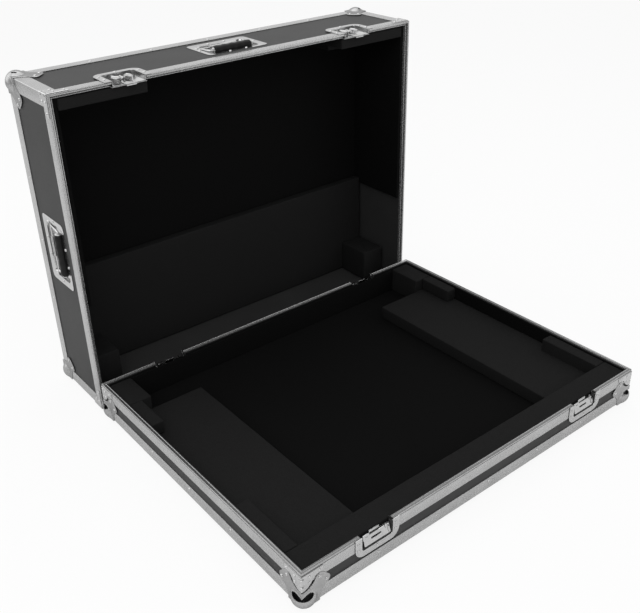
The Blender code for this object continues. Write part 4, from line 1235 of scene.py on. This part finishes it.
def add_rivets(sizes):
    """Each half's rivets as one piece: at the corners, round the latches and handles, and along the edges."""
    for half in ("base", "lid"):
        groups = [corner_rivets(half)]
        reach, mouth = LATCH_REACH[half], MOUTH_REACH[half]
        spots = [(s * LATCH_RIVET, mouth * share) for s in (-1, 1) for share in LATCH_RIVET_SHARES]
        spots += [(0, (reach + mouth) / 2 + 0.001)]
        for side in ("front", "rear"):
            for middle in (-LATCH_X, LATCH_X):
                groups.append(wall_rivets(half, side, middle, spots, -PLATE_OUT))
        if half == "lid":
            (near, up), end = HANDLE_RIVET, HANDLE_END_RIVET
            spots = [(s, HANDLE_W + w) for s in (-near, near) for w in (-up, up)]
            spots += [(-end, HANDLE_W), (end, HANDLE_W)]
            for side in ("front", "left", "right"):
                groups.append(wall_rivets(half, side, 0.0, spots, FLANGE_LEVEL + FLANGE_SLOPE / 2))
        for side, half_length in WALLS.items():
            count = int((half_length - RIVETS_END) / sizes.rivet_pitch)
            spots = [(s * sizes.rivet_pitch, HEIGHT[half] - RIVET_LINE) for s in range(-count, count + 1)]
            groups.append(wall_rivets(half, side, 0.0, spots, 0.0))
        places, normals = (np.concatenate(group) for group in zip(*groups))
        profile = np.array(RIVET_HEAD) * (sizes.rivet_radius, 1)
        heads = turned(profile, places, normals, RIVET_SEGMENTS, (0.37, 0.71, 0.60))
        add_piece(half + "_rivets", heads, "rivet_steel", half, sharp=60)


# Stage

def camera_matrix():
    """Camera that looks at the target from an azimuth and elevation, rolled about its line of sight."""
    azimuth, elevation, roll = (math.radians(v) for v in (CAMERA_AZIMUTH, CAMERA_ELEVATION, CAMERA_ROLL))
    back = Vector((math.sin(azimuth) * math.cos(elevation), -math.cos(azimuth) * math.cos(elevation),
                   math.sin(elevation)))
    right = (-back).cross(Vector((0, 0, 1))).normalized()
    up = right.cross(-back)
    tilted = math.cos(roll) * right + math.sin(roll) * up
    above = math.cos(roll) * up - math.sin(roll) * right
    matrix = Matrix((tilted, above, back)).transposed().to_4x4()
    matrix.translation = Vector(CAMERA_TARGET) + back * CAMERA_DISTANCE
    return matrix


def make_camera(scene):
    """The photograph's camera, its focal length given in points of the picture."""
    lens = bpy.data.cameras.new("camera")
    lens.sensor_fit = "HORIZONTAL"
    lens.sensor_width = 36.0
    lens.lens = CAMERA_FOCAL / IMAGE_WIDTH * lens.sensor_width
    scene.camera = shown("camera", lens)
    scene.camera.matrix_world = camera_matrix()


def make_world(scene):
    """White to the camera and through glass.  Other rays see a plain grey room, glossy ones a graded one."""
    scene.world = bpy.data.worlds.new("studio")
    tree = Tree(scene.world)
    paths = tree.node("ShaderNodeLightPath").outputs
    seen = tree.maths("ADD", paths["Is Camera Ray"], paths["Is Transmission Ray"], clamp=True)
    direction = tree.split(tree.node("ShaderNodeTexCoord").outputs["Generated"])
    room = tree.ranged(direction["Y"], ROOM_SPAN, ROOM_STRENGTH)
    unseen = tree.node("ShaderNodeMix", A=PLAIN_STRENGTH, B=room, Factor=paths["Is Glossy Ray"])
    background = tree.nodes["Background"].inputs
    tree.feed(tree.maths("MAXIMUM", unseen.outputs["Result"], seen), background["Strength"])
    tree.feed((1, 1, 1, 1), background["Color"])


def make_floor(colour):
    """Matt floor that glows white to the camera alone, and still takes some of the object's shadow."""
    reach = FLOOR_REACH
    mesh = bpy.data.meshes.new("floor")
    mesh.from_pydata([(-reach, -reach, 0), (reach, -reach, 0), (reach, reach, 0), (-reach, reach, 0)], [],
                     [(0, 1, 2, 3)])
    paint = bpy.data.materials.new("studio_floor")
    tree = Tree(paint)
    matt = tree.nodes["Principled BSDF"]
    tree.feed((*colour, 1.0), matt.inputs["Base Color"])
    tree.feed(0.9, matt.inputs["Roughness"])
    seen = tree.node("ShaderNodeLightPath").outputs["Is Camera Ray"]
    mix = tree.node("ShaderNodeMixShader", Fac=tree.maths("MULTIPLY", seen, FLOOR_GLOW))
    tree.feed(matt.outputs[0], mix.inputs[1])
    tree.feed(tree.node("ShaderNodeEmission").outputs[0], mix.inputs[2])
    tree.feed(mix.outputs[0], tree.nodes["Material Output"].inputs["Surface"])
    mesh.materials.append(paint)
    shown("floor", mesh)


def add_lamp(name, spot, target, size, energy):
    """Area lamp at a spot, turned to its target."""
    lamp = bpy.data.lights.new(name, "AREA")
    lamp.shape = "RECTANGLE"
    lamp.size, lamp.size_y = size
    lamp.energy = energy
    made = shown(name, lamp)
    made.location = spot
    made.rotation_euler = (Vector(target) - Vector(spot)).to_track_quat("-Z", "Y").to_euler()


# Operators

class FLIGHTCASE_OT_stage(bpy.types.Operator):
    """Camera, world, floor and lamps"""
    bl_idname = "flight_case.add_stage"
    bl_label = "Add Stage"

    def execute(self, context):
        context.scene.view_settings.view_transform = "Standard"
        make_camera(context.scene)
        make_world(context.scene)
        make_floor(context.scene.case_colours.floor)
        for lamp in LAMPS:
            add_lamp(*lamp)
        return {"FINISHED"}


class FLIGHTCASE_OT_finishes(bpy.types.Operator):
    """Finishes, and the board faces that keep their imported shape"""
    bl_idname = "flight_case.add_finishes"
    bl_label = "Add Finishes"

    def execute(self, context):
        make_finishes(context.scene.case_colours)
        for name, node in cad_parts.items():
            if name.endswith("_panel"):
                node.data.materials.clear()
                node.data.materials.append(FINISH["laminate"])
        return {"FINISHED"}


class FLIGHTCASE_OT_extrusions(bpy.types.Operator):
    """Rims with tongue and groove, and the angles along the edges"""
    bl_idname = "flight_case.add_extrusions"
    bl_label = "Add Extrusions"

    def execute(self, context):
        for half in ("base", "lid"):
            add_rim(half)
            add_angles(half, context.scene.case_sizes.edge_radius)
        return {"FINISHED"}


class FLIGHTCASE_OT_corners(bpy.types.Operator):
    """Ball corners and folded braces"""
    bl_idname = "flight_case.add_corners"
    bl_label = "Add Corners"

    def execute(self, context):
        add_ball_corners()
        add_braces(context.scene.case_sizes.fold_radius)
        return {"FINISHED"}


class FLIGHTCASE_OT_latches(bpy.types.Operator):
    """Latch dishes, keepers, butterflies and hooks"""
    bl_idname = "flight_case.add_latches"
    bl_label = "Add Latches"

    def execute(self, context):
        add_latches()
        return {"FINISHED"}


class FLIGHTCASE_OT_handles(bpy.types.Operator):
    """Recessed handles with their bails, grips and springs"""
    bl_idname = "flight_case.add_handles"
    bl_label = "Add Handles"

    def execute(self, context):
        add_handles()
        return {"FINISHED"}


class FLIGHTCASE_OT_foam(bpy.types.Operator):
    """Foam bars, slabs, pads and linings"""
    bl_idname = "flight_case.add_foam"
    bl_label = "Add Foam"

    def execute(self, context):
        radius = context.scene.case_sizes.foam_round
        add_base_foam(radius)
        add_lid_foam(radius)
        return {"FINISHED"}


class FLIGHTCASE_OT_rivets(bpy.types.Operator):
    """Rivet heads on the hardware and along the edges"""
    bl_idname = "flight_case.add_rivets"
    bl_label = "Add Rivets"

    def execute(self, context):
        add_rivets(context.scene.case_sizes)
        return {"FINISHED"}


OPERATORS = (FLIGHTCASE_OT_stage, FLIGHTCASE_OT_finishes, FLIGHTCASE_OT_extrusions, FLIGHTCASE_OT_corners,
             FLIGHTCASE_OT_latches, FLIGHTCASE_OT_handles, FLIGHTCASE_OT_foam, FLIGHTCASE_OT_rivets)


class FLIGHTCASE_PT_panel(bpy.types.Panel):
    """Sizes, colours and pieces of the flight case"""
    bl_label = "Flight Case"
    bl_idname = "FLIGHTCASE_PT_panel"
    bl_space_type = "VIEW_3D"
    bl_region_type = "UI"
    bl_category = "Flight Case"

    def draw(self, context):
        for settings in (context.scene.case_sizes, context.scene.case_colours):
            box = self.layout.box()
            for name in settings.bl_rna.properties.keys():
                if name not in ("rna_type", "name"):
                    box.prop(settings, name)
        for operator in OPERATORS:
            self.layout.operator(operator.bl_idname)


CLASSES = (CaseSizes, CaseColours, *OPERATORS, FLIGHTCASE_PT_panel)


def register():
    for item in CLASSES:
        bpy.utils.register_class(item)
    bpy.types.Scene.case_sizes = PointerProperty(type=CaseSizes)
    bpy.types.Scene.case_colours = PointerProperty(type=CaseColours)


def unregister():
    del bpy.types.Scene.case_colours
    del bpy.types.Scene.case_sizes
    for item in reversed(CLASSES):
        bpy.utils.unregister_class(item)


def main():
    register()
    for operator in OPERATORS:
        getattr(bpy.ops.flight_case, operator.bl_idname.split(".")[1])()


if __name__ == "__main__":
    main()
